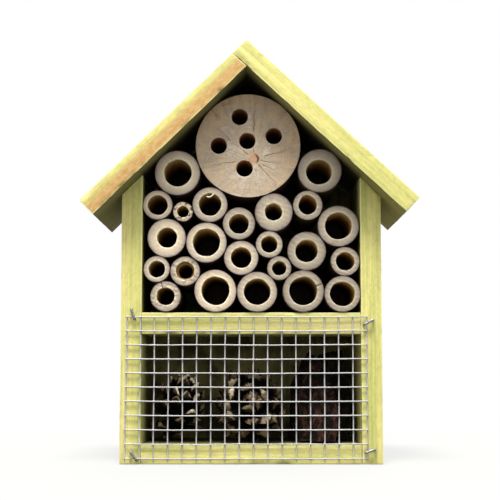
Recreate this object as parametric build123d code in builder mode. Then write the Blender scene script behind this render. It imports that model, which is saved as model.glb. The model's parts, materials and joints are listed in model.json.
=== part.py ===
from build123d import *
from dataclasses import dataclass
from math import cos, hypot, pi, radians, sin, sqrt, tan
import os

# A gabled insect hotel: two side walls, a shelf and a floor board, a two-board roof and a plywood back.
# The upper chamber holds bamboo canes packed round a drilled log, and the lower chamber holds
# pine cones and bark behind welded wire mesh. The origin is the middle of the base, the front faces -Y.

# Body, millimetres
body_width = 185.0  # over the outsides of the side walls
board_depth = 76.0  # walls, shelf and floor board, front to back
wall_thickness = 15.0
shelf_thickness = 15.5
floor_thickness = 13.5
shelf_top_height = 106.5
panel_thickness = 4.0

# Roof
ridge_offset = -3.0  # the ridge stands a little to the left of the middle
ridge_height = 278.5  # underside of the ridge
left_pitch = 44.5
right_pitch = 43.0
roof_thickness = 14.0
roof_overhang = 20.0  # in front of the walls
left_slope_length = 150.0  # along the underside, from the ridge to the eave
right_slope_length = 151.5

# Drilled log and cane bundle
log_diameter = 75.5
log_bore_diameter = 12.0
log_bore_depth = 55.0
log_bores = [(-6.0, 21.0), (18.5, 7.0), (-21.0, 0.0), (-0.5, 3.5), (-2.5, -16.5)]  # from the log's centre
cane_gap = 0.15  # between neighbours in the bundle
cane_bore_depth = 62.0
bundle_share = 0.695  # part of the chamber's section that the canes take up

# Each cane: centre as % of the chamber's half width and of its height, diameter, bore diameter,
# bore centre off the cane's centre (x, z), and how far it stands out of the front
cane_table = [
    (-66.5, 58.0, 33.0, 20.0, 0.3, 0.0, 0.5),
    (64.0, 59.5, 32.0, 18.5, -0.4, -1.0, 0.0),
    (-86.0, 45.0, 21.5, 14.5, 0.0, 0.0, 0.4),
    (-62.5, 42.0, 14.5, 8.5, 0.0, 0.0, 0.0),
    (-37.0, 45.0, 25.5, 16.5, 0.0, 0.2, 0.8),
    (-11.5, 37.0, 23.5, 14.5, 0.0, -0.3, 0.2),
    (20.5, 41.0, 27.5, 12.5, -0.2, 0.2, 0.0),
    (52.0, 44.5, 21.5, 13.5, 0.0, 0.0, 0.6),
    (79.0, 35.5, 30.0, 19.5, 0.0, 0.0, 0.3),
    (-77.5, 31.0, 28.0, 14.5, 0.3, 0.2, 0.0),
    (-40.5, 29.0, 29.5, 20.0, 0.0, 0.0, 1.0),
    (-9.0, 22.0, 25.0, 15.0, 0.0, 0.0, 0.2),
    (17.0, 27.5, 19.5, 12.0, 0.0, 0.0, 0.5),
    (51.5, 24.5, 28.0, 16.5, 0.0, 0.0, 0.0),
    (86.0, 21.0, 21.0, 13.5, 0.0, 0.0, 0.4),
    (-86.0, 18.0, 19.0, 12.0, 0.0, 0.0, 0.8),
    (-60.0, 17.5, 21.5, 13.5, 0.0, 0.2, 0.0),
    (26.0, 18.0, 17.5, 10.5, 0.0, 0.0, 0.3),
    (-78.5, 7.0, 22.0, 13.0, 0.0, 0.0, 0.9),
    (-33.0, 9.0, 30.5, 20.5, 0.0, 0.0, 1.2),
    (5.0, 8.5, 29.0, 19.0, 0.0, 0.0, 1.5),
    (46.0, 8.5, 30.0, 20.5, 0.0, 0.0, 1.3),
    (83.0, 7.5, 26.0, 18.0, 0.0, 0.0, 1.0),
]

# Welded mesh over the lower chamber
wire_diameter = 1.0
mesh_pitch = 10.0
mesh_left_inset = 4.0  # first upright, from the outside of the left wall
mesh_right_inset = 11.0  # last upright, from the outside of the right wall
mesh_bottom = 4.3  # lowest level wire
mesh_top_inset = 3.2  # highest level wire, below the shelf's top
wire_end = 0.6  # past the outermost crossing
staple_wire = 1.2
staple_width = 7.6  # from leg to leg
staple_leg = 9.0

# Loose filling of the lower chamber, chosen to suit it: shares of its width, height and depth
left_cone_width_share = 0.23
left_cone_height_share = 0.67
middle_cone_width_share = 0.345
middle_cone_length_share = 0.62
chip_room_share = 0.33
chip_row_share = 0.12
chip_lean = 8.0

# Nails and pins
nail_diameter = 1.8
nail_length = 36.0
nail_head_diameter = 4.0
nail_head_thickness = 1.0
nail_inset = 16.0  # from a board's front and back edges
pin_diameter = 1.4
pin_length = 16.0
pin_head_diameter = 3.0
pin_head_thickness = 0.6
wall_pin_heights = [35.0, 140.0, 175.0]
board_pin_spacing = 80.0

# Hanger on the back
hanger_width = 18.0
hanger_foot = 11.0
hanger_span = 26.0  # raised middle, between the feet
hanger_standoff = 3.5
hanger_sheet = 1.2
hanger_below_log = -2.0  # its middle, from the log's centre
keyhole_diameter = 8.0
keyhole_slot_width = 4.2
keyhole_slot_rise = 7.0
screw_diameter = 3.0
screw_length = 14.0
screw_head_diameter = 5.6
screw_head_height = 1.8

# ---------------------------------------------------------------- places that follow from the sizes

front_y = -(board_depth + panel_thickness) / 2
panel_front_y = front_y + board_depth
back_y = panel_front_y + panel_thickness
inner_width = body_width - 2 * wall_thickness
chamber_height = ridge_height - shelf_top_height
wall_middle = (body_width - wall_thickness) / 2
shelf_middle_height = shelf_top_height - shelf_thickness / 2
shelf_underside = shelf_top_height - shelf_thickness
lower_height = shelf_underside - floor_thickness
nail_rows = [front_y + nail_inset, panel_front_y - nail_inset]
left_turn = radians(left_pitch)
right_turn = radians(right_pitch)
butt_length = roof_thickness / sin(left_turn + right_turn)  # right board over the left board's end
ridge = Vector(ridge_offset, 0, ridge_height)

# Each roof board's plane: x down the slope along its underside, y out through the board
left_slope = Plane(ridge, x_dir=(-cos(left_turn), 0, -sin(left_turn)), z_dir=(0, 1, 0))
right_slope = Plane(ridge, x_dir=(cos(right_turn), 0, -sin(right_turn)), z_dir=(0, -1, 0))

os.makedirs("parts", exist_ok=True)


def underside(x):
    """Height of the roof's underside above x."""
    turn = left_turn if x < ridge_offset else right_turn
    return ridge_height - abs(x - ridge_offset) * tan(turn)


def save(piece, name):
    piece.part.label = name
    export_step(piece.part, f"parts/{name}.step")


# ---------------------------------------------------------------- nails, pins and screws


@dataclass
class Nail:
    """A round nail: the middle of its head's outer face, and the way its point goes."""

    place: Vector
    point: Vector
    diameter: float = nail_diameter
    length: float = nail_length
    head_diameter: float = nail_head_diameter
    head_thickness: float = nail_head_thickness

    def plane(self, depth=0.0):
        """Plane across the nail at this depth below its head's outer face, looking along its point."""
        return Plane(self.place, z_dir=self.point).offset(depth)


def add_nails(nails):
    """Each nail as a solid of its own: head, shank and tapered point."""
    on_base = (Align.CENTER, Align.CENTER, Align.MIN)
    for nail in nails:
        shank_end = nail.length - nail.diameter
        with Locations(nail.plane()):
            Cylinder(nail.head_diameter / 2, nail.head_thickness, align=on_base)
        with Locations(nail.plane(nail.head_thickness)):
            Cylinder(nail.diameter / 2, shank_end - nail.head_thickness, align=on_base)
        with Locations(nail.plane(shank_end)):
            Cone(nail.diameter / 2, nail.diameter / 8, nail.diameter, align=on_base)


def cut_nail_holes(nails):
    """Cut each nail's own hole, with a recess for its head that is open above it."""
    for nail in nails:
        with Locations(Plane(nail.place, z_dir=-nail.point)):
            CounterBoreHole(
                radius=nail.diameter / 2,
                counter_bore_radius=nail.head_diameter / 2,
                counter_bore_depth=nail.head_thickness,
                depth=nail.length,
            )


# The mesh reaches from wall to wall in whole meshes
mesh_left = -body_width / 2 + mesh_left_inset
mesh_right = body_width / 2 - mesh_right_inset
mesh_top = shelf_top_height - mesh_top_inset
meshes_across = round((mesh_right - mesh_left) / mesh_pitch)
meshes_up = round((mesh_top - mesh_bottom) / mesh_pitch)
pitch_across = (mesh_right - mesh_left) / meshes_across
pitch_up = (mesh_top - mesh_bottom) / meshes_up

# Each staple straddles an outer wire: middle x and z, and how its crown slopes, in degrees
staples = [
    (mesh_left + 5.0, mesh_top + 1.9, -71.0),
    (mesh_right + 1.3, mesh_top - 3.7, 28.0),
    (mesh_left + 6.3, mesh_bottom + 1.9, -55.0),
    (mesh_right + 1.7, mesh_bottom + 5.3, 20.0),
]

# Eave nails go straight down through the sloping boards into the tops of the walls
nail_sink = 3.5  # deep enough that the whole head is under the sloping face
eave_nails = []
for side in (-1, 1):
    turn = left_turn if side < 0 else right_turn
    top = underside(side * wall_middle) + roof_thickness / cos(turn)
    for y in nail_rows:
        eave_nails.append(Nail(Vector(side * wall_middle, y, top - nail_sink), Vector(0, 0, -1)))

# Ridge nails go through the right board into the left board's end
ridge_nails = []
for y in [front_y - roof_overhang + nail_inset, (front_y - roof_overhang + back_y) / 2, back_y - nail_inset]:
    place = right_slope.from_local_coords((-butt_length / 2, roof_thickness, -y))
    ridge_nails.append(Nail(place, -right_slope.y_dir))

# Wall nails go through the side walls into the ends of the shelf and the floor board
wall_nails = []
for side in (-1, 1):
    for height in (shelf_middle_height, floor_thickness / 2):
        for y in nail_rows:
            wall_nails.append(Nail(Vector(side * body_width / 2, y, height), Vector(-side, 0, 0)))

# Pins hold the back panel to the walls, the shelf and the floor board
panel_pins = []
pin_places = [(side * wall_middle, height) for side in (-1, 1) for height in wall_pin_heights]
for height in (shelf_middle_height, floor_thickness / 2):
    pin_places += [(side * board_pin_spacing / 2, height) for side in (-1, 1)]
for x, z in pin_places:
    panel_pins.append(
        Nail(
            Vector(x, back_y, z),
            Vector(0, -1, 0),
            pin_diameter,
            pin_length,
            pin_head_diameter,
            pin_head_thickness,
        )
    )

# ---------------------------------------------------------------- log and canes: where they lie


@dataclass
class Cane:
    """A cane in the bundle, seen from the front."""

    x: float
    z: float
    radius: float
    bore_radius: float
    bore_x: float
    bore_z: float
    stand_out: float


# The log touches both roof boards, so it hangs on the line that halves the ridge's angle
ridge_half_angle = (pi - left_turn - right_turn) / 2
ridge_lean = (left_turn - right_turn) / 2
log_drop = (log_diameter / 2 + cane_gap) / sin(ridge_half_angle)
log_x = ridge_offset + log_drop * sin(ridge_lean)
log_z = ridge_height - log_drop * cos(ridge_lean)

# The chamber's sides: a point on each, and the way into the chamber
chamber_sides = [
    (0, shelf_top_height, 0, 1),
    (-inner_width / 2, 0, 1, 0),
    (inner_width / 2, 0, -1, 0),
    (ridge_offset, ridge_height, sin(left_turn), -cos(left_turn)),
    (ridge_offset, ridge_height, -sin(right_turn), -cos(right_turn)),
]


def chamber_area():
    """Section of the upper chamber without the log."""
    left = ridge_offset + inner_width / 2
    right = inner_width / 2 - ridge_offset
    left_mean = (underside(-inner_width / 2) + ridge_height) / 2 - shelf_top_height
    right_mean = (underside(inner_width / 2) + ridge_height) / 2 - shelf_top_height
    return left * left_mean + right * right_mean - pi * log_diameter**2 / 4


def place_canes():
    """The table's canes in this chamber, sized together so that they fill their share of it."""
    bundle_area = sum(pi * row[2] ** 2 / 4 for row in cane_table)
    stock = sqrt(bundle_share * chamber_area() / bundle_area)
    canes = []
    for across, up, diameter, bore, bore_x, bore_z, stand_out in cane_table:
        x = across / 100 * inner_width / 2
        z = shelf_top_height + up / 100 * chamber_height
        canes.append(Cane(x, z, stock * diameter / 2, stock * bore / 2, bore_x, bore_z, stand_out))
    return canes


def push_apart(canes):
    """Move overlapping neighbours off each other, and every cane off the log and the chamber's sides."""
    for index, cane in enumerate(canes):
        for other in canes[index + 1 :]:
            away = hypot(other.x - cane.x, other.z - cane.z)
            overlap = cane.radius + other.radius + cane_gap - away
            if overlap > 0:
                shift_x = (other.x - cane.x) / away * overlap / 2
                shift_z = (other.z - cane.z) / away * overlap / 2
                cane.x -= shift_x
                cane.z -= shift_z
                other.x += shift_x
                other.z += shift_z
        away = hypot(cane.x - log_x, cane.z - log_z)
        overlap = cane.radius + log_diameter / 2 + cane_gap - away
        if overlap > 0:
            cane.x += (cane.x - log_x) / away * overlap
            cane.z += (cane.z - log_z) / away * overlap
        for side_x, side_z, in_x, in_z in chamber_sides:
            room = (cane.x - side_x) * in_x + (cane.z - side_z) * in_z - cane.radius - cane_gap
            if room < 0:
                cane.x -= room * in_x
                cane.z -= room * in_z


def room_around(cane, canes):
    """Smallest gap between a cane and anything next to it."""
    gaps = [hypot(cane.x - log_x, cane.z - log_z) - cane.radius - log_diameter / 2]
    for other in canes:
        if other is not cane:
            gaps.append(hypot(cane.x - other.x, cane.z - other.z) - cane.radius - other.radius)
    for side_x, side_z, in_x, in_z in chamber_sides:
        gaps.append((cane.x - side_x) * in_x + (cane.z - side_z) * in_z - cane.radius)
    return min(gaps)


def pack_bundle():
    """Let the canes sink a little and push each other apart until they lie side by side."""
    canes = place_canes()
    rounds = 500
    sink = 0.3
    for number in range(rounds):
        for cane in canes:
            cane.z -= sink / rounds
        push_apart(canes)
    for cane in canes:
        cane.radius -= max(0.0, cane_gap / 2 - room_around(cane, canes))
    return canes


bundle = pack_bundle()

# ---------------------------------------------------------------- hanger: where it lies

hanger_z = log_z + hanger_below_log
hanger_feet_x = [log_x + side * (hanger_span + hanger_foot) / 2 for side in (-1, 1)]
hanger_screws = []
for x in hanger_feet_x:
    hanger_screws.append(
        Nail(
            Vector(x, back_y + hanger_sheet + screw_head_height, hanger_z),
            Vector(0, -1, 0),
            screw_diameter,
            screw_length + screw_head_height,
            screw_head_diameter,
            screw_head_height,
        )
    )

# ---------------------------------------------------------------- boards


def make_wall(name, side):
    """A side wall with its top cut to the roof's slope, and its nail, pin and staple holes."""
    outer = side * body_width / 2
    inner = side * inner_width / 2
    with BuildPart() as wall:
        with BuildSketch(Plane.XZ.offset(-panel_front_y)):
            with BuildLine():
                Polyline(
                    (outer, 0),
                    (inner, 0),
                    (inner, underside(inner)),
                    (outer, underside(outer)),
                    close=True,
                )
            make_face()
        extrude(amount=board_depth)
        cut_nail_holes(nail for nail in eave_nails + wall_nails + panel_pins if nail.place.X * side > 0)
        cut_staple_holes()
    save(wall, name)


def cut_staple_holes():
    """Cut the holes that the staples' legs are driven into."""
    depth = staple_leg - 2 * wire_diameter
    for x, z, slope in staples:
        for side in (-1, 1):
            leg_x = x + side * staple_width / 2 * cos(radians(slope))
            leg_z = z + side * staple_width / 2 * sin(radians(slope))
            with Locations(Plane((leg_x, front_y, leg_z), z_dir=(0, -1, 0))):
                Hole(staple_wire / 2, depth)


def make_cross_board(name, top, thickness):
    """A board between the walls, with the holes of the wall nails and the panel's pins."""
    with BuildPart() as board:
        with BuildSketch(Plane.XZ.offset(-panel_front_y)):
            with Locations((0, top - thickness / 2)):
                Rectangle(inner_width, thickness)
        extrude(amount=board_depth)
        near = [nail for nail in wall_nails + panel_pins if top - thickness < nail.place.Z < top]
        cut_nail_holes(near)
        cut_staple_holes()
    save(board, name)


make_wall("side_wall_left", -1)
make_wall("side_wall_right", 1)
make_cross_board("shelf_board", shelf_top_height, shelf_thickness)
make_cross_board("floor_board", floor_thickness, floor_thickness)

# The left roof board ends under the right one
with BuildPart() as roof_board_left:
    with BuildSketch(left_slope.offset(back_y)):
        with BuildLine():
            Polyline(
                (0, 0),
                (left_slope_length, 0),
                (left_slope_length, roof_thickness),
                (roof_thickness / tan(left_turn + right_turn), roof_thickness),
                close=True,
            )
        make_face()
    extrude(amount=-(board_depth + panel_thickness + roof_overhang))
    cut_nail_holes([nail for nail in eave_nails if nail.place.X < 0] + ridge_nails)
save(roof_board_left, "roof_board_left")

# The right roof board runs over the left board's end, flush with its top face
with BuildPart() as roof_board_right:
    with BuildSketch(right_slope.offset(-back_y)):
        with BuildLine():
            Polyline(
                (-butt_length, 0),
                (right_slope_length, 0),
                (right_slope_length, roof_thickness),
                (-butt_length * (1 - cos(left_turn + right_turn)), roof_thickness),
                close=True,
            )
        make_face()
    extrude(amount=board_depth + panel_thickness + roof_overhang)
    cut_nail_holes([nail for nail in eave_nails if nail.place.X > 0] + ridge_nails)
save(roof_board_right, "roof_board_right")

with BuildPart() as back_panel:
    with BuildSketch(Plane.XZ.offset(-back_y)):
        with BuildLine():
            Polyline(
                (-body_width / 2, 0),
                (body_width / 2, 0),
                (body_width / 2, underside(body_width / 2)),
                (ridge_offset, ridge_height),
                (-body_width / 2, underside(-body_width / 2)),
                close=True,
            )
        make_face()
    extrude(amount=panel_thickness)
    cut_nail_holes(panel_pins + hanger_screws)
save(back_panel, "back_panel")

# ---------------------------------------------------------------- upper chamber

with BuildPart() as drilled_log:
    with BuildSketch(Plane.XZ.offset(-panel_front_y)):
        with Locations((log_x, log_z)):
            Circle(log_diameter / 2)
    extrude(amount=board_depth)
    with BuildSketch(Plane.XZ.offset(-front_y)):
        with Locations([(log_x + x, log_z + z) for x, z in log_bores]):
            Circle(log_bore_diameter / 2)
    extrude(amount=-log_bore_depth, mode=Mode.SUBTRACT)
    cut_nail_holes(hanger_screws)
save(drilled_log, "drilled_log")

for number, cane in enumerate(bundle, start=1):
    cane_front = Plane.XZ.offset(-front_y + cane.stand_out)
    with BuildPart() as bamboo:
        with BuildSketch(Plane.XZ.offset(-panel_front_y)):
            with Locations((cane.x, cane.z)):
                Circle(cane.radius)
        extrude(amount=board_depth + cane.stand_out)
        with BuildSketch(cane_front):
            with Locations((cane.x + cane.bore_x, cane.z + cane.bore_z)):
                Circle(cane.bore_radius)
        extrude(amount=-cane_bore_depth, mode=Mode.SUBTRACT)
    save(bamboo, f"cane_{number:02d}")

# ---------------------------------------------------------------- mesh and staples

upright_places = [mesh_left + index * pitch_across for index in range(meshes_across + 1)]
level_places = [mesh_bottom + index * pitch_up for index in range(meshes_up + 1)]

with BuildPart() as mesh_upright_wires:
    with BuildSketch(Plane.XY.offset(mesh_bottom - wire_end)):
        with Locations([(x, front_y - wire_diameter / 2) for x in upright_places]):
            Circle(wire_diameter / 2)
    extrude(amount=mesh_top - mesh_bottom + 2 * wire_end)
save(mesh_upright_wires, "mesh_upright_wires")

with BuildPart() as mesh_level_wires:
    with BuildSketch(Plane.YZ.offset(mesh_left - wire_end)):
        with Locations([(front_y - wire_diameter * 1.5, z) for z in level_places]):
            Circle(wire_diameter / 2)
    extrude(amount=mesh_right - mesh_left + 2 * wire_end)
save(mesh_level_wires, "mesh_level_wires")

with BuildPart() as mesh_staples:
    crown_y = front_y - 2 * wire_diameter - staple_wire / 2
    for x, z, slope in staples:
        middle = Plane((x, crown_y, z), x_dir=(cos(radians(slope)), 0, sin(radians(slope))), z_dir=(0, -1, 0))
        leg_plane = Plane(middle.origin, x_dir=middle.x_dir, z_dir=middle.y_dir)
        half = staple_width / 2
        with BuildLine(leg_plane) as run:
            FilletPolyline(
                (-half, staple_leg),
                (-half, 0),
                (half, 0),
                (half, staple_leg),
                radius=staple_wire,
            )
        with BuildSketch(Plane(run.line @ 0, z_dir=run.line % 0)):
            Circle(staple_wire / 2)
        sweep()
save(mesh_staples, "mesh_staples")

# ---------------------------------------------------------------- nails

nail_groups = {"eave_nails": eave_nails, "ridge_nails": ridge_nails, "wall_nails": wall_nails}
nail_groups["back_panel_pins"] = panel_pins
nail_groups["hanger_screws"] = hanger_screws
for name, nails in nail_groups.items():
    with BuildPart() as fasteners:
        add_nails(nails)
    save(fasteners, name)

# ---------------------------------------------------------------- hanger

# A strap bent up in the middle, so that a screw's head has room behind its keyhole
with BuildPart() as hanger_plate:
    rise_x = hanger_span / 2
    foot_x = rise_x + hanger_foot
    raised_y = back_y + hanger_standoff
    with BuildSketch(Plane.XY.offset(hanger_z - hanger_width / 2)):
        with BuildLine():
            Polyline(
                (log_x - foot_x, back_y),
                (log_x - rise_x, back_y),
                (log_x - rise_x, raised_y),
                (log_x + rise_x, raised_y),
                (log_x + rise_x, back_y),
                (log_x + foot_x, back_y),
                (log_x + foot_x, back_y + hanger_sheet),
                (log_x + rise_x + hanger_sheet, back_y + hanger_sheet),
                (log_x + rise_x + hanger_sheet, raised_y + hanger_sheet),
                (log_x - rise_x - hanger_sheet, raised_y + hanger_sheet),
                (log_x - rise_x - hanger_sheet, back_y + hanger_sheet),
                (log_x - foot_x, back_y + hanger_sheet),
                close=True,
            )
        make_face()
    extrude(amount=hanger_width)
    keyhole_z = hanger_z - keyhole_slot_rise / 2
    with BuildSketch(Plane.XZ.offset(-raised_y)):
        with Locations((log_x, keyhole_z)):
            Circle(keyhole_diameter / 2)
        with Locations((log_x, keyhole_z + keyhole_slot_rise)):
            Circle(keyhole_slot_width / 2)
        with Locations((log_x, keyhole_z + keyhole_slot_rise / 2)):
            Rectangle(keyhole_slot_width, keyhole_slot_rise)
    extrude(amount=-hanger_sheet, mode=Mode.SUBTRACT)
    cut_nail_holes(hanger_screws)
save(hanger_plate, "hanger_plate")

# ---------------------------------------------------------------- lower chamber


def lay_on_floor(piece):
    """Lower or lift a loose piece until it just lies on the floor board."""
    lift = floor_thickness - piece.part.bounding_box().min.Z
    piece.part = piece.part.translate((0, 0, lift))


def make_pine_cone(name, middle, axis, length, width, tiers):
    """A pine cone: tiers of scales round a core, widest below the middle, along its axis."""
    start = Vector(middle) - Vector(axis).normalized() * length / 2
    across = Vector(axis).cross(Vector(0.3, 0.2, 1)).normalized()
    profile_plane = Plane(start, x_dir=across, z_dir=across.cross(Vector(axis)))
    core = width * 0.2
    outline = [(0, 0), (core, 0)]
    for tier in range(tiers):
        low = length * tier / (tiers + 1)
        high = length * (tier + 1) / (tiers + 1)
        reach = width / 2 * sin(pi * (0.18 + 0.74 * (tier + 0.5) / tiers)) ** 0.8
        outline += [(reach, high - 0.3 * (high - low)), (reach, high), (max(core, reach * 0.55), high)]
    outline.append((0, length))
    with BuildPart() as pine_cone:
        with BuildSketch(profile_plane):
            with BuildLine():
                Polyline(*outline, close=True)
            make_face()
        revolve(axis=Axis(start, axis))
    lay_on_floor(pine_cone)
    save(pine_cone, name)


def make_chip(name, place, lean, outline, thickness):
    """A flat chip of bark that stands on the floor board and leans back."""
    x, y, turn = place
    corner = Vector(x, y, floor_thickness)
    standing = Plane(corner, x_dir=(cos(radians(turn)), sin(radians(turn)), 0), z_dir=(0, 0, 1))
    leaning = Plane(standing.origin, x_dir=standing.x_dir, z_dir=-standing.y_dir).rotated((-lean, 0, 0))
    with BuildPart() as chip:
        with BuildSketch(leaning):
            with BuildLine():
                Polyline(*outline, close=True)
            make_face()
        extrude(amount=-thickness)
        chamfer(chip.edges().filter_by(GeomType.LINE).group_by(SortBy.LENGTH)[-1], thickness * 0.15)
    lay_on_floor(chip)
    save(chip, name)


left_cone_width = left_cone_width_share * inner_width
left_cone_place = (-0.335 * inner_width, front_y + 0.45 * board_depth, shelf_middle_height / 2)
left_cone_height = left_cone_height_share * lower_height
make_pine_cone("pine_cone_left", left_cone_place, (0.15, -0.35, 1.0), left_cone_height, left_cone_width, 9)

middle_cone_width = middle_cone_width_share * inner_width
middle_cone_place = (-0.01 * inner_width, front_y + 0.42 * board_depth, shelf_middle_height / 2)
middle_cone_length = middle_cone_length_share * board_depth
make_pine_cone(
    "pine_cone_middle", middle_cone_place, (0.1, -1.0, 0.12), middle_cone_length, middle_cone_width, 8
)

# Bark chips stand one behind the other between the middle cone and the right wall. Each: start in
# % of the chips' room, turn in degrees, thickness, and outline in % of the room's width and height
chips = [
    (31, 5.0, 4.5, [(0, 0), (37, 0), (43, 23), (33, 55), (16, 61), (-4, 34)]),
    (14, -3.0, 5.5, [(0, 0), (53, 0), (61, 31), (47, 63), (18, 75), (-2, 43)]),
    (43, 4.0, 5.0, [(0, 0), (47, 0), (52, 37), (43, 79), (20, 85), (4, 49)]),
    (6, 2.0, 6.0, [(0, 0), (61, 0), (57, 34), (65, 67), (27, 86), (-2, 53)]),
    (37, -4.0, 5.0, [(0, 0), (55, 0), (60, 41), (47, 88), (10, 83), (2, 39)]),
    (2, 0.0, 5.5, [(0, 0), (71, 0), (76, 35), (65, 71), (22, 80), (4, 36)]),
]
chip_room = chip_room_share * inner_width
chip_room_left = inner_width / 2 - chip_room
for row, (start, turn, thickness, outline) in enumerate(chips):
    place = (
        chip_room_left + start / 100 * chip_room,
        front_y + (0.17 + row * chip_row_share) * board_depth,
        turn,
    )
    shape = [(x / 100 * chip_room, z / 100 * lower_height) for x, z in outline]
    make_chip(f"bark_chip_{row + 1}", place, chip_lean, shape, thickness)
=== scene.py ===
import json
import random
from math import atan2, cos, exp, hypot, pi, radians, sin, sqrt

import bmesh
import bpy
from mathutils import Matrix, Vector, geometry, kdtree, noise


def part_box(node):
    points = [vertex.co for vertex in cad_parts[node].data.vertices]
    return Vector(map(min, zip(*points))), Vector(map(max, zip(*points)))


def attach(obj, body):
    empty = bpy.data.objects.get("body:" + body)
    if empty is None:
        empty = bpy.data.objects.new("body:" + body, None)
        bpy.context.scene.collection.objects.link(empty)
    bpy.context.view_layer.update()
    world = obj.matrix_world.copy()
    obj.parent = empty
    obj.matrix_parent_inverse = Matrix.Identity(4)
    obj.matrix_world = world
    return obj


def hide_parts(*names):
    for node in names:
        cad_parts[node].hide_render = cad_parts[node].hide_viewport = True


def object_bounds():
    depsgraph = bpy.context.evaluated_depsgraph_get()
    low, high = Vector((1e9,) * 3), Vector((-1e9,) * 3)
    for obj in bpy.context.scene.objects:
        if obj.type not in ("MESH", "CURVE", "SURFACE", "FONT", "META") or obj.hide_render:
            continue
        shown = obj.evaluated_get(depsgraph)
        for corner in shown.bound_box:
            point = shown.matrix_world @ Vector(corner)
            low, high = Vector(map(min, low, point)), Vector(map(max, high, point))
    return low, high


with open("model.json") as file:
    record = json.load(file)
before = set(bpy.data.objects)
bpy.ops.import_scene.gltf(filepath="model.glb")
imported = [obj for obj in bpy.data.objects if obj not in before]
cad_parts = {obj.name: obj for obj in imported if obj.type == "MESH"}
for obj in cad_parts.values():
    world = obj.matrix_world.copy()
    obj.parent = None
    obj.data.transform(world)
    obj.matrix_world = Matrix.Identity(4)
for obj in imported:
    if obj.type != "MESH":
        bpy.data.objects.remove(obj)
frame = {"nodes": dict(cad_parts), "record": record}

cad_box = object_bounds()
MM = 0.001
WHITE = (1.0, 1.0, 1.0)
nodes = frame["nodes"]
boxes = {name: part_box(name) for name in nodes}


# ---------------------------------------------------------------- small helpers


def low(node):
    return boxes[node][0].copy()


def high(node):
    return boxes[node][1].copy()


def lerp(a, b, t):
    return a + (b - a) * t


def smooth_step(start, end, value):
    """From 0 at start to 1 at end, without corners."""
    t = min(1.0, max(0.0, (value - start) / (end - start)))
    return t * t * (3 - 2 * t)


def circle(sides):
    """Evenly spaced turns in radians."""
    return [2 * pi * index / sides for index in range(sides)]


def upright(x, z):
    return Vector((x, 0, z))


def spoke(turn):
    """The way from the middle of a circle that faces the front to a point on it."""
    return upright(cos(turn), sin(turn))


def wobble(point, scale, seed=0.0):
    """Smooth noise from -1 to 1; scale is the size of its features in metres."""
    return noise.noise(Vector(point) / scale + Vector((seed, seed * 0.7, -seed)))


def fine_wobble(point, scale, octaves, seed=0.0):
    return noise.fractal(Vector(point) / scale + Vector((seed, -seed, seed * 0.3)), 1.0, 2.0, octaves)


def add_object(name, data):
    made = bpy.data.objects.new(name, data)
    bpy.context.scene.collection.objects.link(made)
    return made


def finish_piece(name, mesh, material, replaced=()):
    """A smooth piece on the hotel's one body and the CAD nodes that it stands for."""
    mesh.polygons.foreach_set("use_smooth", [True] * len(mesh.polygons))
    mesh.materials.append(material)
    piece = add_object(name, mesh)
    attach(piece, "root")
    if replaced:
        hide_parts(*replaced)
    return piece


class Shape:
    """Points, faces and stored values of one piece, put together ring by ring or patch by patch."""

    def __init__(self, *names):
        self.points = []
        self.faces = []
        self.values = {name: [] for name in names}

    def add(self, place, **values):
        self.points.append(place)
        for name, column in self.values.items():
            column.append(values.get(name, 0.0))
        return len(self.points) - 1

    def bridge(self, first, second, closed=True):
        for index in range(len(first) if closed else len(first) - 1):
            after = (index + 1) % len(first)
            self.faces.append((first[index], first[after], second[after], second[index]))

    def skin(self, rings):
        for first, second in zip(rings, rings[1:]):
            self.bridge(first, second)

    def cap(self, ring, place, **values):
        """Close a ring with a point in its middle."""
        centre = self.add(place, **values)
        for index in range(len(ring)):
            self.faces.append((ring[index], ring[(index + 1) % len(ring)], centre))

    def build(self, name, material, slot, replaced=()):
        mesh = bpy.data.meshes.new(name)
        mesh.from_pydata([tuple(p) for p in self.points], [], self.faces)
        mesh.validate()
        for key, values in self.values.items():
            vectors = len(values) == 3 * len(self.points)
            layer = mesh.attributes.new(key, "FLOAT_VECTOR" if vectors else "FLOAT", "POINT")
            layer.data.foreach_set("vector" if vectors else "value", values)
        builder = bmesh.new()
        builder.from_mesh(mesh)
        bmesh.ops.recalc_face_normals(builder, faces=builder.faces)
        builder.to_mesh(mesh)
        builder.free()
        return finish_piece(name, mesh, material, replaced)


def corner(node, across, up):
    """The vertex of a CAD node that lies farthest this way in the XZ plane."""
    return max((v.co for v in nodes[node].data.vertices), key=lambda co: co.x * across + co.z * up)


def islands(node):
    """The separate solids of a CAD node, each as a list of its points."""
    builder = bmesh.new()
    builder.from_mesh(nodes[node].data)
    bmesh.ops.remove_doubles(builder, verts=builder.verts, dist=1e-6)
    seen = set()
    groups = []
    for start in builder.verts:
        if start in seen:
            continue
        seen.add(start)
        group = [start]
        for vert in group:
            for edge in vert.link_edges:
                other = edge.other_vert(vert)
                if other not in seen:
                    seen.add(other)
                    group.append(other)
        groups.append([vert.co.copy() for vert in group])
    builder.free()
    return sorted(groups, key=lambda group: tuple(round(sum(c) / len(group), 5) for c in zip(*group)))


# ---------------------------------------------------------------- shader nodes


class Nodes:
    """A short vocabulary over the nodes of one material or world."""

    def __init__(self, tree):
        self.tree = tree

    def fill(self, node, inputs):
        """Give each of a node's sockets a link or a value of its own."""
        for key, value in inputs.items():
            socket = node.inputs[key]
            if isinstance(value, bpy.types.NodeSocket):
                self.tree.links.new(value, socket)
            elif socket.type == "RGBA":
                socket.default_value = (*value, 1)
            else:
                socket.default_value = value

    def node(self, kind, inputs=None, **settings):
        made = self.tree.nodes.new(kind)
        for key, value in settings.items():
            setattr(made, key, value)
        self.fill(made, inputs or {})
        return made

    def math(self, operation, first, second=0.0, third=0.0):
        return self.node("ShaderNodeMath", {0: first, 1: second, 2: third}, operation=operation).outputs[0]


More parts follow.
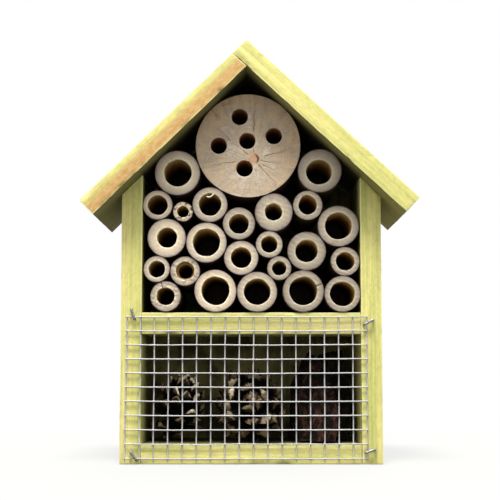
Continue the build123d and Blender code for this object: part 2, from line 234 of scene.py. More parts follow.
class Paint(Nodes):
    """A material under one principled shader; its coordinates are in millimetres."""

    def __init__(self, name, rough=0.6, metal=0.0, specular=0.35):
        self.material = bpy.data.materials.new(name)
        self.material.use_nodes = True
        super().__init__(self.material.node_tree)
        self.shader = self.tree.nodes["Principled BSDF"]
        self.fill(self.shader, {"Roughness": rough, "Metallic": metal, "Specular IOR Level": specular})
        self.bumps = None

    def value(self, name, output="Fac"):
        """A value or vector stored on the mesh."""
        return self.node("ShaderNodeAttribute", attribute_name=name).outputs[output]

    def coords(self, scale=(1, 1, 1), turn=(0, 0, 0), attribute=None):
        """Millimetres, squeezed and turned, from the piece's own coordinates or from a stored vector."""
        if attribute:
            source = self.value(attribute, "Vector")
        else:
            source = self.node("ShaderNodeTexCoord").outputs["Object"]
        inputs = {"Vector": source, "Rotation": turn, "Scale": [1000 * s for s in scale]}
        return self.node("ShaderNodeMapping", inputs).outputs["Vector"]

    def noise(self, vector, scale, detail=3.0, rough=0.55, distort=0.0, offset=0.0):
        inputs = {"Vector": vector, "Scale": scale, "Detail": detail}
        inputs.update({"Roughness": rough, "Distortion": distort, "W": offset})
        return self.node("ShaderNodeTexNoise", inputs, noise_dimensions="4D").outputs["Fac"]

    def ramp(self, factor, *stops):
        """Colours or greys along a factor: stops are (place, colour)."""
        made = self.node("ShaderNodeValToRGB", {"Fac": factor})
        elements = made.color_ramp.elements
        while len(elements) < len(stops):
            elements.new(0.5)
        for element, (place, color) in zip(elements, stops):
            element.position = place
            if isinstance(color, (int, float)):
                color = (color, color, color)
            element.color = (*color, 1)
        return made.outputs["Color"]

    def mix(self, factor, first, second, blend="MIX"):
        inputs = {0: factor, 6: first, 7: second}
        return self.node("ShaderNodeMix", inputs, data_type="RGBA", blend_type=blend).outputs[2]

    def shade(self, base, amount, factor, *stops):
        """Darken or tint a colour by a ramp along a factor."""
        return self.mix(amount, base, self.ramp(factor, *stops), "MULTIPLY")

    def stray(self, factor, amount):
        """A noise turned to run from -amount to amount."""
        return self.math("MULTIPLY_ADD", factor, 2 * amount, -amount)

    def bump(self, height, strength, depth):
        """Add relief; depth is its height in metres."""
        inputs = {"Strength": strength, "Distance": depth, "Height": height}
        if self.bumps is not None:
            inputs["Normal"] = self.bumps
        self.bumps = self.node("ShaderNodeBump", inputs).outputs["Normal"]

    def finish(self, color, rough=None):
        inputs = {"Base Color": color, "Normal": self.bumps}
        if rough is not None:
            inputs["Roughness"] = rough
        self.fill(self.shader, inputs)
        return self.material


def srgb(red, green, blue):
    """A colour as it is seen on a screen, 0 to 255, in Blender's linear values."""
    def linear(value):
        value /= 255
        return value / 12.92 if value <= 0.04045 else ((value + 0.055) / 1.055) ** 2.4

    return (linear(red), linear(green), linear(blue))


# ---------------------------------------------------------------- camera, light and stage


def add_camera():
    """In front of the mesh and a hair to the left, looking a little up."""
    distance = 0.7251  # in front of the walls
    eye_x, eye_z = -0.0001, 0.0689
    look_up, look_left = 4.768, 0.063  # degrees
    data = bpy.data.cameras.new("camera")
    data.sensor_width = 36.0
    data.lens = 73.886
    data.shift_y = 0.06
    camera = add_object("camera", data)
    camera.location = (eye_x, low("side_wall_left").y - distance, eye_z)
    camera.rotation_euler = (radians(90 + look_up), 0, radians(look_left))
    bpy.context.scene.camera = camera


def add_lamp(name, place, size, power, color=WHITE):
    """A soft round lamp that shines on the middle of the hotel."""
    data = bpy.data.lights.new(name, "AREA")
    data.shape = "DISK"
    data.size = size
    data.energy = power
    data.color = color
    lamp = add_object(name, data)
    lamp.location = place
    lamp.rotation_euler = (upright(0, 0.15) - Vector(place)).to_track_quat("-Z", "Y").to_euler()


def sky(strength):
    """A world that is plain white to the camera and to reflections, and a soft sky over dark ground as light."""
    world = bpy.data.worlds.new("world")
    world.use_nodes = True
    world.node_tree.nodes.clear()
    net = Nodes(world.node_tree)
    way = net.node("ShaderNodeTexCoord").outputs["Generated"]
    up = net.node("ShaderNodeSeparateXYZ", {0: way}).outputs["Z"]
    horizon = {"From Min": -0.15, "From Max": 0.35, "To Min": 0.12 * strength, "To Max": strength}
    light = net.node("ShaderNodeMapRange", {"Value": up, **horizon}).outputs["Result"]
    lighting = net.node("ShaderNodeBackground", {"Color": (1.0, 0.985, 0.965), "Strength": light})
    seen = net.node("ShaderNodeBackground", {"Color": WHITE, "Strength": 1.0})
    path = net.node("ShaderNodeLightPath").outputs
    reflected = net.math("MAXIMUM", path["Is Glossy Ray"], path["Is Transmission Ray"])
    either = net.math("MAXIMUM", path["Is Camera Ray"], reflected)
    mix = net.node("ShaderNodeMixShader", {0: either, 1: lighting.outputs[0], 2: seen.outputs[0]})
    net.node("ShaderNodeOutputWorld", {"Surface": mix.outputs[0]})
    return world


def floor_paint():
    """A pale floor with the hotel's shadow, plain white to the camera a little way off."""
    paint = Paint("floor_paint", rough=0.9, specular=0.0)
    camera_ray = paint.node("ShaderNodeLightPath").outputs["Is Camera Ray"]
    glow = paint.math("MULTIPLY", camera_ray, 0.7)
    look = {"Base Color": (0.12, 0.12, 0.115), "Emission Color": WHITE, "Emission Strength": glow}
    paint.fill(paint.shader, look)
    place = paint.node("ShaderNodeTexCoord").outputs["Object"]
    reach = paint.node("ShaderNodeVectorMath", {0: place}, operation="LENGTH").outputs["Value"]
    fade = {"Value": reach, "From Min": 0.2, "From Max": 0.5}
    away = paint.node("ShaderNodeMapRange", fade, interpolation_type="SMOOTHSTEP").outputs["Result"]
    seen = paint.math("MULTIPLY", away, camera_ray)
    white = paint.node("ShaderNodeEmission", {"Strength": 1.0})
    mix = paint.node("ShaderNodeMixShader", {0: seen, 1: paint.shader.outputs[0], 2: white.outputs[0]})
    paint.fill(paint.tree.nodes["Material Output"], {"Surface": mix.outputs[0]})
    return paint.material


def add_stage():
    bpy.context.scene.world = sky(1.4)
    reach = 1.6
    z = cad_box[0][2] - 0.1 * MM
    mesh = bpy.data.meshes.new("floor")
    corners = [(-reach, -reach, z), (reach, -reach, z), (reach, reach, z), (-reach, reach, z)]
    mesh.from_pydata(corners, [], [(0, 1, 2, 3)])
    mesh.materials.append(floor_paint())
    add_object("floor", mesh)
    add_camera()
    add_lamp("key", (-0.06, -0.56, 1.55), 0.42, 35.0, (1.0, 0.98, 0.94))
    add_lamp("rim", (0.3, 1.4, 0.9), 1.2, 8.0)
    bpy.context.scene.view_settings.view_transform = "Standard"


# ---------------------------------------------------------------- materials


LIME = srgb(203, 205, 120)
YELLOW = srgb(234, 224, 142)
GREEN = srgb(178, 184, 98)
PALE = srgb(242, 236, 176)
TAN = srgb(186, 146, 88)
WARM = srgb(222, 190, 128)
STAIN = ((0.3, GREEN), (0.44, LIME), (0.58, YELLOW), (0.78, PALE))


def stained_wood(name, seed, heart, tan_band=0.0, warm=0.5, bright=1.0, underside_shade=0.6):
    """Lime stain over softwood, its grain along the board. The middle of its rings lies at heart in its section,
    and a tan band covers this share of its front. Warm and bright set its yellow and its level; the last argument
    sets how dark the painted shade on its underside is, and faces that look up get painted shade as well."""
    paint = Paint(name, rough=0.62, specular=0.3)
    plain = paint.coords(attribute="board")
    grain = paint.coords((1.0, 1.0, 0.035), attribute="board")
    bands = paint.noise(grain, 0.13, 3, 0.5, 0.6, seed)
    streaks = paint.noise(grain, 0.62, 4, 0.6, 0.3, seed + 3)
    fibre = paint.noise(paint.coords((1.0, 1.0, 0.012), attribute="board"), 2.6, 3, 0.6, 0.0, seed + 5)
    patches = paint.noise(plain, 0.02, 2, 0.5, 0.0, seed + 8)
    mottle = paint.noise(paint.coords((1.0, 1.0, 0.5), attribute="board"), 0.45, 5, 0.7, 0.3, seed + 11)
    base = paint.ramp(bands, *[(place, tuple(bright * c for c in color)) for place, color in STAIN])
    base = paint.mix(paint.math("MULTIPLY", patches, warm), base, YELLOW)
    kind = "ShaderNodeVectorMath"
    from_heart = paint.node(kind, {0: plain, 1: (*heart, 0)}, operation="SUBTRACT").outputs[0]
    across_grain = paint.node(kind, {0: from_heart, 1: (1, 1, 0)}, operation="MULTIPLY").outputs[0]
    reach = paint.node(kind, {0: across_grain}, operation="LENGTH").outputs["Value"]
    wander = paint.math("MULTIPLY", bands, 7.0)
    ring = paint.math("FRACT", paint.math("MULTIPLY", paint.math("ADD", reach, wander), 0.42))
    base = paint.shade(base, 0.42, ring, (0.0, 1.0), (0.62, 1.0), (0.88, 0.78), (1.0, 0.98))
    base = paint.shade(base, 0.42, streaks, (0.36, 0.78), (0.52, 1.0), (0.7, 1.03))
    base = paint.shade(base, 0.5, fibre, (0.35, 0.78), (0.55, 1.0))
    base = paint.shade(base, 0.7, mottle, (0.36, 0.8), (0.52, 1.0), (0.66, 1.06))
    normal = paint.node("ShaderNodeNewGeometry").outputs["Normal"]
    facing = paint.node("ShaderNodeSeparateXYZ", {0: normal}).outputs
    if tan_band:
        across = paint.math("ADD", paint.value("across"), paint.stray(bands, 0.18))
        band = ((0.02, 0.35), (0.17, 1.0), (tan_band - 0.16, 1.0), (tan_band + 0.16, 0.0))
        front = paint.ramp(paint.math("MULTIPLY", facing["Y"], -1.0), (0.3, 0.0), (0.7, 1.0))
        tan_here = paint.math("MULTIPLY", paint.ramp(across, *band), front)
        base = paint.mix(tan_here, base, paint.mix(paint.ramp(mottle, (0.4, 0.0), (0.65, 0.6)), TAN, WARM))
    base = paint.mix(paint.math("MULTIPLY", paint.value("edge"), 0.6), base, PALE)
    end = paint.ramp(ring, (0.0, srgb(214, 200, 128)), (0.7, srgb(186, 174, 100)), (1.0, srgb(140, 126, 66)))
    pores = paint.noise(plain, 1.2, 4, 0.7, 0.0, seed + 14)
    base = paint.mix(paint.value("end"), base, paint.shade(end, 0.6, pores, (0.35, 0.7), (0.6, 1.0)))
    # painted shade: faces that look down are darkened as far as the underside setting says, faces that look up to
    # 0.6
    lift = paint.math("ADD", facing["Z"], 0.5)
    base = paint.shade(base, 1.0, lift, (0.0, underside_shade), (0.3, 1.0), (0.7, 1.0), (1.0, 0.6))
    # painted shade: faces inside the hotel darken towards the back
    base = paint.mix(paint.value("soil"), base, srgb(44, 38, 22))
    paint.bump(streaks, 0.5, 0.3 * MM)
    paint.bump(fibre, 0.45, 0.18 * MM)
    return paint.finish(base, paint.ramp(fibre, (0.3, 0.75), (0.7, 0.52)))


def plywood():
    """Thin green stain on a rotary-cut veneer, its grain upright, with painted shade over its inner face."""
    paint = Paint("plywood", rough=0.7, specular=0.25)
    waves = paint.noise(paint.coords((1.0, 1.0, 0.05)), 0.09, 4, 0.55, 2.2, 2.0)
    lines = paint.math("FRACT", paint.math("MULTIPLY", waves, 9.0))
    fibre = paint.noise(paint.coords((1.0, 1.0, 0.02)), 2.2, 3, 0.6, 0.0, 5.0)
    base = paint.ramp(waves, (0.3, srgb(126, 122, 70)), (0.5, srgb(150, 144, 86)), (0.7, srgb(172, 163, 106)))
    base = paint.shade(base, 0.35, lines, (0.0, 0.72), (0.25, 1.0), (0.9, 1.0), (1.0, 0.8))
    base = paint.shade(base, 0.6, fibre, (0.35, 0.75), (0.6, 1.0))
    # painted shade: the inner face is darkened unevenly, deep in places
    shade_mottle = paint.noise(paint.coords(), 0.035, 3, 0.6, 0.5, 8.0)
    base = paint.mix(paint.value("inner"), base, paint.shade(base, 1.0, shade_mottle, (0.4, 0.16), (0.6, 0.8)))
    paint.bump(lines, 0.2, 0.2 * MM)
    paint.bump(fibre, 0.5, 0.2 * MM)
    return paint.finish(base)


def bamboo():
    """Cut cane: pale inner rim, tan wall with dark fibre ends, brown skin, and painted shade that darkens the bore
    inwards.
    """
    paint = Paint("bamboo", rough=0.6, specular=0.3)
    across = paint.value("across")
    plain = paint.coords()
    blotch = paint.noise(plain, 0.2, 4, 0.6, 0.3, 1.0)
    grit = paint.noise(plain, 1.3, 3, 0.7, 0.0, 4.0)
    face = paint.ramp(
        paint.math("ADD", across, paint.stray(blotch, 0.2)),
        (0.0, srgb(255, 250, 236)),
        (0.12, srgb(252, 242, 218)),
        (0.24, srgb(236, 221, 190)),
        (0.52, srgb(224, 207, 178)),
        (0.7, srgb(208, 195, 178)),
        (0.88, srgb(184, 172, 166)),
        (1.0, srgb(128, 112, 102)),
    )
    cells = paint.node("ShaderNodeTexVoronoi", {"Vector": plain, "Scale": 1.45}, feature="F1")
    crowd = paint.math("MULTIPLY_ADD", across, 0.26, 0.12)
    bundle = paint.math("LESS_THAN", cells.outputs["Distance"], crowd)
    face = paint.mix(paint.math("MULTIPLY", bundle, 0.22), face, srgb(134, 108, 82))
    face = paint.shade(face, 0.55, grit, (0.36, 0.68), (0.52, 1.0))
    face = paint.mix(paint.ramp(blotch, (0.56, 0.0), (0.72, 0.45)), face, srgb(176, 150, 122))
    # the cane's tone: its own paleness, with painted light on the canes high under the roof
    tones = ((0.0, srgb(184, 184, 184)), (0.5, srgb(217, 216, 216)), (1.0, srgb(252, 250, 246)))
    face = paint.shade(face, 1.0, paint.value("tone"), *tones)
    deep = paint.value("deep")
    # painted shade: the bore darkens from its pale mouth to near black deep inside
    bore = paint.ramp(
        deep,
        (0.0, srgb(240, 222, 176)),
        (0.03, srgb(212, 186, 130)),
        (0.35, srgb(172, 138, 84)),
        (0.9, srgb(48, 33, 19)),
    )
    length_grain = paint.noise(paint.coords((1.0, 0.03, 1.0)), 1.4, 3, 0.6, 0.0, 7.0)
    bore = paint.shade(bore, 0.4, length_grain, (0.3, 0.6), (0.6, 1.0))
    skin = paint.mix(length_grain, srgb(66, 52, 30), srgb(106, 88, 54))
    skin = paint.mix(paint.math("MULTIPLY", blotch, 0.5), skin, srgb(84, 68, 40))
    base = paint.mix(paint.ramp(deep, (0.0, 0.0), (0.02, 1.0)), face, bore)
    base = paint.mix(paint.value("skin"), base, skin)
    base = paint.mix(paint.value("split"), base, srgb(38, 27, 18))
    paint.bump(grit, 0.35, 0.15 * MM)
    paint.bump(length_grain, 0.2, 0.1 * MM)
    return paint.finish(base)


def log_end():
    """Sawn end grain: faint rings and rays, dark checks, browner towards the top and the right."""
    paint = Paint("log_end_grain", rough=0.75, specular=0.2)
    plain = paint.coords()
    shake = paint.noise(plain, 0.05, 3, 0.5, 0.0, 3.0)
    place = paint.math("MULTIPLY_ADD", shake, 5.0, paint.math("MULTIPLY", paint.value("ring"), 40.0))
    wave = paint.math("SINE", paint.math("MULTIPLY", place, 3.2))
    cloud = paint.noise(plain, 0.13, 5, 0.65, 0.9, 9.0)
    base = paint.ramp(
        paint.math("ADD", paint.value("brown"), paint.math("MULTIPLY_ADD", cloud, 1.9, -0.9)),
        (0.0, srgb(203, 190, 173)),
        (0.2, srgb(184, 167, 145)),
        (0.55, srgb(204, 180, 149)),
        (0.8, srgb(190, 162, 126)),
        (1.0, srgb(154, 122, 88)),
    )
    base = paint.shade(base, 1.0, paint.math("MULTIPLY_ADD", wave, 0.5, 0.5), (0.0, 0.94), (0.6, 1.0))
    base = paint.shade(base, 0.8, paint.value("ray"), (0.25, 0.86), (0.5, 1.0), (0.8, 1.05))
    speck = paint.noise(plain, 1.6, 3, 0.7, 0.0, 12.0)
    base = paint.shade(base, 0.5, speck, (0.36, 0.72), (0.52, 1.0))
    saw = paint.noise(paint.coords((0.03, 1.0, 1.0), (0, radians(20), 0)), 1.2, 2, 0.5, 0.0, 15.0)
    base = paint.shade(base, 0.15, saw, (0.35, 0.8), (0.6, 1.0))
    pith = paint.value("pith")
    knot = paint.ramp(
        pith,
        (0.1, srgb(200, 176, 148)),
        (0.42, srgb(190, 146, 112)),
        (0.62, srgb(150, 106, 74)),
        (1.0, srgb(70, 42, 26)),
    )
    base = paint.mix(paint.ramp(pith, (0.05, 0.0), (0.4, 0.7), (0.9, 0.95)), base, knot)
    base = paint.mix(paint.value("check"), base, srgb(58, 42, 30))
    deep = paint.value("deep")
    # painted shade: each bore darkens from its pale mouth to near black deep inside
    bore = paint.ramp(
        deep,
        (0.36, srgb(222, 190, 152)),
        (0.385, srgb(174, 126, 86)),
        (0.55, srgb(122, 80, 50)),
        (0.9, srgb(46, 27, 17)),
    )
    base = paint.mix(paint.ramp(deep, (0.3, 0.0), (0.35, 1.0)), base, bore)
    paint.bump(speck, 0.4, 0.2 * MM)
    paint.bump(saw, 0.12, 0.2 * MM)
    return paint.finish(base)


def galvanised(name, bright, metal=0.75, specular=0.5):
    """Zinc on wire or plate: bright with dull grey spangles and a little white bloom."""
    paint = Paint(name, rough=0.42, metal=metal, specular=specular)
    plain = paint.coords()
    spangle = paint.noise(plain, 0.5, 3, 0.6, 0.0, 2.0)
    bloom = paint.noise(plain, 0.06, 3, 0.6, 0.4, 6.0)
    base = paint.mix(spangle, tuple(0.72 * c for c in bright), bright)
    base = paint.mix(paint.ramp(bloom, (0.5, 0.0), (0.7, 0.5)), base, srgb(214, 214, 208))
    paint.bump(spangle, 0.12, 0.1 * MM)
    return paint.finish(base, paint.ramp(spangle, (0.3, 0.4), (0.7, 0.62)))


def nail_steel():
    """Bright wire nail, dulled and spotted with a little rust."""
    paint = Paint("nail_steel", rough=0.45, metal=0.9, specular=0.5)
    plain = paint.coords()
    rust = paint.noise(plain, 0.5, 4, 0.65, 0.3, 4.0)
    fine = paint.noise(plain, 2.0, 2, 0.5, 0.0, 8.0)
    base = paint.mix(fine, srgb(132, 130, 126), srgb(176, 174, 168))
    base = paint.mix(paint.ramp(rust, (0.54, 0.0), (0.68, 0.8)), base, srgb(120, 70, 38))
    paint.bump(fine, 0.3, 0.1 * MM)
    return paint.finish(base)


def cone_scale():
    """Pine cone scale: pale weathered tip, brown back, dark root."""
    paint = Paint("cone_scale", rough=0.75, specular=0.2)
    plain = paint.coords()
    blotch = paint.noise(plain, 0.25, 3, 0.6, 0.2, 3.0)
    grit = paint.noise(plain, 1.5, 3, 0.7, 0.0, 6.0)
    base = paint.ramp(
        paint.math("ADD", paint.value("tip"), paint.stray(blotch, 0.3)),
        (0.0, srgb(14, 9, 8)),
        (0.6, srgb(30, 21, 17)),
        (0.8, srgb(84, 66, 52)),
        (0.93, srgb(214, 200, 172)),
        (1.0, srgb(250, 242, 220)),
    )
    # painted light: scales towards a cone's front end are paler, those at its back darker, over a random tone
    tones = ((0.0, srgb(80, 66, 56)), (0.5, srgb(140, 126, 110)), (0.9, srgb(255, 252, 246)))
    base = paint.shade(base, 1.0, paint.value("tone"), *tones)
    base = paint.shade(base, 0.5, grit, (0.35, 0.6), (0.6, 1.0))
    paint.bump(grit, 0.5, 0.3 * MM)
    return paint.finish(base)


def bark(name, seed, dark, light):
    """Flaky red-brown bark."""
    paint = Paint(name, rough=0.85, specular=0.15)
    layers = paint.noise(paint.coords((1.0, 1.0, 0.6)), 0.16, 5, 0.65, 1.2, seed)
    grit = paint.noise(paint.coords(), 1.2, 4, 0.7, 0.0, seed + 3)
    base = paint.mix(paint.ramp(layers, (0.48, 0.0), (0.66, 1.0)), srgb(*dark), srgb(*light))
    base = paint.shade(base, 0.6, grit, (0.35, 0.5), (0.6, 1.0))
    paint.bump(layers, 0.8, 1.0 * MM)
    paint.bump(grit, 0.6, 0.4 * MM)
    return paint.finish(base)


# ---------------------------------------------------------------- boards


BOARD_STEP = 3.0 * MM  # between a board's points along its flat faces
EDGE_RADIUS = 0.8 * MM
NAIL_RECESS = 2.1 * MM  # radius of the holes over the eave nails


def edge_places(length, step, radius):
    """Places along a board: close together over its rounded edges and even between them."""
    count = max(2, round((length - 2 * radius) / step))
    between = [radius + (length - 2 * radius) * index / count for index in range(count + 1)]
    return [0.0, 0.59 * radius] + between + [length - 0.59 * radius, length]


def make_board(node, profile, material, seed, soil):
    """A worn board: profile is its section's corners in XZ, first across and then along the grain. The last
    argument paints shade on the face inside the hotel, darker towards the back: the face that is last across,
    or the first one if it is below 0."""
    p00, p10, p11, p01 = [upright(p.x, p.z) for p in profile]
    front, back = low(node).y, high(node).y
    size = ((p10 - p00).length, back - front, ((p01 - p00).length + (p11 - p10).length) / 2)
    places = [edge_places(length, BOARD_STEP, EDGE_RADIUS) for length in size]
    counts = [len(line) - 1 for line in places]
    inner_side = counts[0] if soil > 0 else 0
    shape = Shape("edge", "end", "across", "soil")
    board = []
    known = {}

    def vertex(*key):
        if key in known:
            return known[key]
        spot = Vector([places[axis][key[axis]] for axis in range(3)])
        inner = Vector([min(max(spot[axis], EDGE_RADIUS), size[axis] - EDGE_RADIUS) for axis in range(3)])
        away = spot - inner
        on_edge = sum(abs(a) > EDGE_RADIUS * 0.3 for a in away) > 1
        softness = 0.6 + 0.4 * wobble(spot, 0.007, seed)
        worn = spot.lerp(inner + away.normalized() * EDGE_RADIUS, softness) if on_edge else spot
        warp = 0.16 * MM * (1 + fine_wobble((spot.x, spot.y, spot.z * 0.3), 0.011, 3, seed + 9))
        if on_edge:
            warp += 0.45 * MM * smooth_step(0.25, 0.7, wobble(spot, 0.0045, seed + 21))
        worn = worn - away.normalized() * max(0.0, warp)
        u, v, w = [worn[axis] / size[axis] for axis in range(3)]
        place = p00.lerp(p10, u).lerp(p01.lerp(p11, u), w)
        place.y = lerp(front, back, v)
        inside = key[0] == inner_side
        if soil < 0:
            inside = inside and low("back_panel").x + 15 * MM < place.x < high("back_panel").x - 15 * MM
        fade = 0.6 if place.z < low("shelf_board").z else 0.3
        # painted shade, deepening towards the back on the face inside the hotel
        painted_shade = abs(soil) * smooth_step(0.02, fade, v) if inside else 0.0
        on_end = key[2] in (0, counts[2]) and not on_edge
        known[key] = shape.add(place, edge=float(on_edge), end=float(on_end), across=u, soil=painted_shade)
        board.extend(spot)
        return known[key]

    for axis in range(3):
        first, second = [other for other in range(3) if other != axis]
        for end in (0, counts[axis]):
            for i in range(counts[first]):
                for j in range(counts[second]):
                    face = []
                    for di, dj in ((0, 0), (1, 0), (1, 1), (0, 1)):
                        key = [0, 0, 0]
                        key[axis], key[first], key[second] = end, i + di, j + dj
                        face.append(vertex(*key))
                    shape.faces.append(face)
    shape.values["board"] = board
    return shape.build(node + "_wood", material, "stained_wood", (node,))


def drill(piece, places, radius, depth):
    """Cut upright holes, such as the recesses over the eave nails, into a piece."""
    cutter_mesh = bpy.data.meshes.new("cutter")
    builder = bmesh.new()
    for place in places:
        shift = Matrix.Translation(Vector(place) + Vector((0, 0, depth / 2)))
        bmesh.ops.create_cone(
            builder, cap_ends=True, segments=32, radius1=radius, radius2=radius * 1.04, depth=depth, matrix=shift
        )
    builder.to_mesh(cutter_mesh)
    builder.free()
    cutter = add_object("cutter", cutter_mesh)
    cut = piece.modifiers.new("cut", "BOOLEAN")
    cut.operation = "DIFFERENCE"
    cut.solver = "EXACT"
    cut.object = cutter
    evaluated = piece.evaluated_get(bpy.context.evaluated_depsgraph_get())
    mesh = bpy.data.meshes.new_from_object(evaluated)
    piece.modifiers.clear()
    piece.data = mesh
    bpy.data.objects.remove(cutter)
    bpy.data.meshes.remove(cutter_mesh)
    mesh.set_sharp_from_angle(angle=radians(55))


def make_boards():
    for node, side, seed, heart, soil in (
        ("side_wall_left", -1, 3.0, (34.0, 70.0), 0.8),
        ("side_wall_right", 1, 17.0, (-26.0, 20.0), 0.55),
    ):
        a, b = low(node), high(node)
        outer, inner = (a.x, b.x) if side < 0 else (b.x, a.x)
        outer_top = corner(node, side, 0.2).z
        profile = [upright(outer, a.z), upright(inner, a.z), upright(inner, b.z), upright(outer, outer_top)]
        make_board(node, profile, stained_wood(node, seed, heart, warm=0.35), seed, soil)
    for node, seed, heart, warm, bright in (
        ("shelf_board", 31.0, (-9.0, 16.0), 0.1, 0.86),
        ("floor_board", 44.0, (22.0, 52.0), 0.4, 1.0),
    ):
        a, b = low(node), high(node)
        profile = [upright(a.x, a.z), upright(a.x, b.z), upright(b.x, b.z), upright(b.x, a.z)]
        make_board(node, profile, stained_wood(node, seed, heart, 0.0, warm, bright, 0.85), seed, 0.92)
    for node, side, seed, heart, look in (
        ("roof_board_left", -1, 58.0, (30.0, 44.0), (0.6, 1.3, 0.78, 0.34)),
        ("roof_board_right", 1, 73.0, (-18.0, 60.0), (0.0, 0.9, 0.94, 0.5)),
    ):
        profile = [corner(node, *way) for way in ((-side, -0.5), (0, 1), (side, 0), (0, -1))]
        board = make_board(node, profile, stained_wood(node, seed, heart, *look), seed, -0.9)
        centres = []
        for group in islands("eave_nails"):
            middle = sum((Vector((p.x, p.y, 0)) for p in group), Vector()) / len(group)
            if middle.x * side > 0:
                centres.append((middle.x, middle.y, max(p.z for p in group)))
        drill(board, centres, NAIL_RECESS, 12 * MM)


def make_back_panel():
    """The plywood back, with the edges of its veneers showing at the sides."""
    node = "back_panel"
    a, b = low(node), high(node)
    peak = corner(node, 0, 1)
    left_top = corner(node, -1, 0.2).z
    right_top = corner(node, 1, 0.2).z
    left_columns = edge_places(peak.x - a.x, 3.4 * MM, 0.3 * MM)
    right_columns = edge_places(b.x - peak.x, 3.4 * MM, 0.3 * MM)
    columns = [a.x + x for x in left_columns[:-2]] + [peak.x + x for x in right_columns[2:]]
    rows = edge_places(1.0, 0.014, 0.0015)
    shape = Shape("edge", "inner")

    def top(x):
        if x < peak.x:
            return lerp(left_top, peak.z, (x - a.x) / (peak.x - a.x))
        return lerp(right_top, peak.z, (b.x - x) / (b.x - peak.x))

    layers = []
    for share in (0.0, 0.08, 0.3, 0.36, 0.64, 0.7, 0.92, 1.0):
        layer = []
        for x in columns:
            line = []
            for row in rows:
                rim = x in (columns[0], columns[-1]) or row in (rows[0], rows[-1])
                if share not in (0.0, 1.0) and not rim:
                    line.append(None)
                    continue
                y, z = lerp(a.y, b.y, share), a.z + row * (top(x) - a.z)
                place = Vector((x, y, z))
                if share == 1.0:
                    place.y -= 0.12 * MM * (1 + wobble((x, 0, z * 0.4), 0.03, 5.0))
                if rim:
                    centre = Vector(((a.x + b.x) / 2, y, (a.z + b.z) / 2.4))
                    tuck = 0.25 * MM if share in (0.0, 1.0) else 0.0
                    rough = tuck + 0.15 * MM * (1 + wobble(place, 0.0012, 8.0))
                    place += (centre - place).normalized() * rough
                line.append(shape.add(place, edge=float(rim), inner=float(share == 0.0)))
            layer.append(line)
        layers.append(layer)
    for layer in (layers[0], layers[-1]):
        for first, second in zip(layer, layer[1:]):
            shape.bridge(first, second, closed=False)
    shape.skin([border([list(row) for row in zip(*layer)]) for layer in layers])
    shape.build("back_panel_veneers", plywood(), "plywood", (node,))


def border(grid):
    """The points round the edge of a grid of points, in order."""
    return grid[0] + [row[-1] for row in grid[1:]] + grid[-1][-2::-1] + [row[0] for row in grid[-2:0:-1]]


# ---------------------------------------------------------------- canes


# What sets single canes apart: a pear-shaped bore, a ledge this many mm deep in it, splits of the rim at these
# turns, how dark the torn fibres of a rough cut are, and how pale the cut face is
PEAR_BORE = ("cane_08",)
INNER_LEDGE = {"cane_17": 4.5}
SPLIT_RIM = {"cane_19": (1.9,), "cane_22": (0.35,)}
ROUGH_CUT = {"cane_04": 0.9, "cane_17": 0.4, "cane_19": 0.2}
OWN_TONE = {"cane_03": 0.7, "cane_04": 1.0, "cane_05": 0.2, "cane_06": 0.1, "cane_10": 0.9, "cane_20": 0.85}
CANE_VALUES = ("across", "deep", "skin", "tone", "split")


def opening(name):
    """Middle of an opening's box and the radius of the round hole round it."""
    entry = next(entry for entry in frame["record"]["physics"]["openings"] if entry["name"] == name)
    first, second = [Vector(p) for p in entry["box_m"]]
    return (first + second) / 2, (second.x - first.x) / sqrt(2) + 0.12 * MM


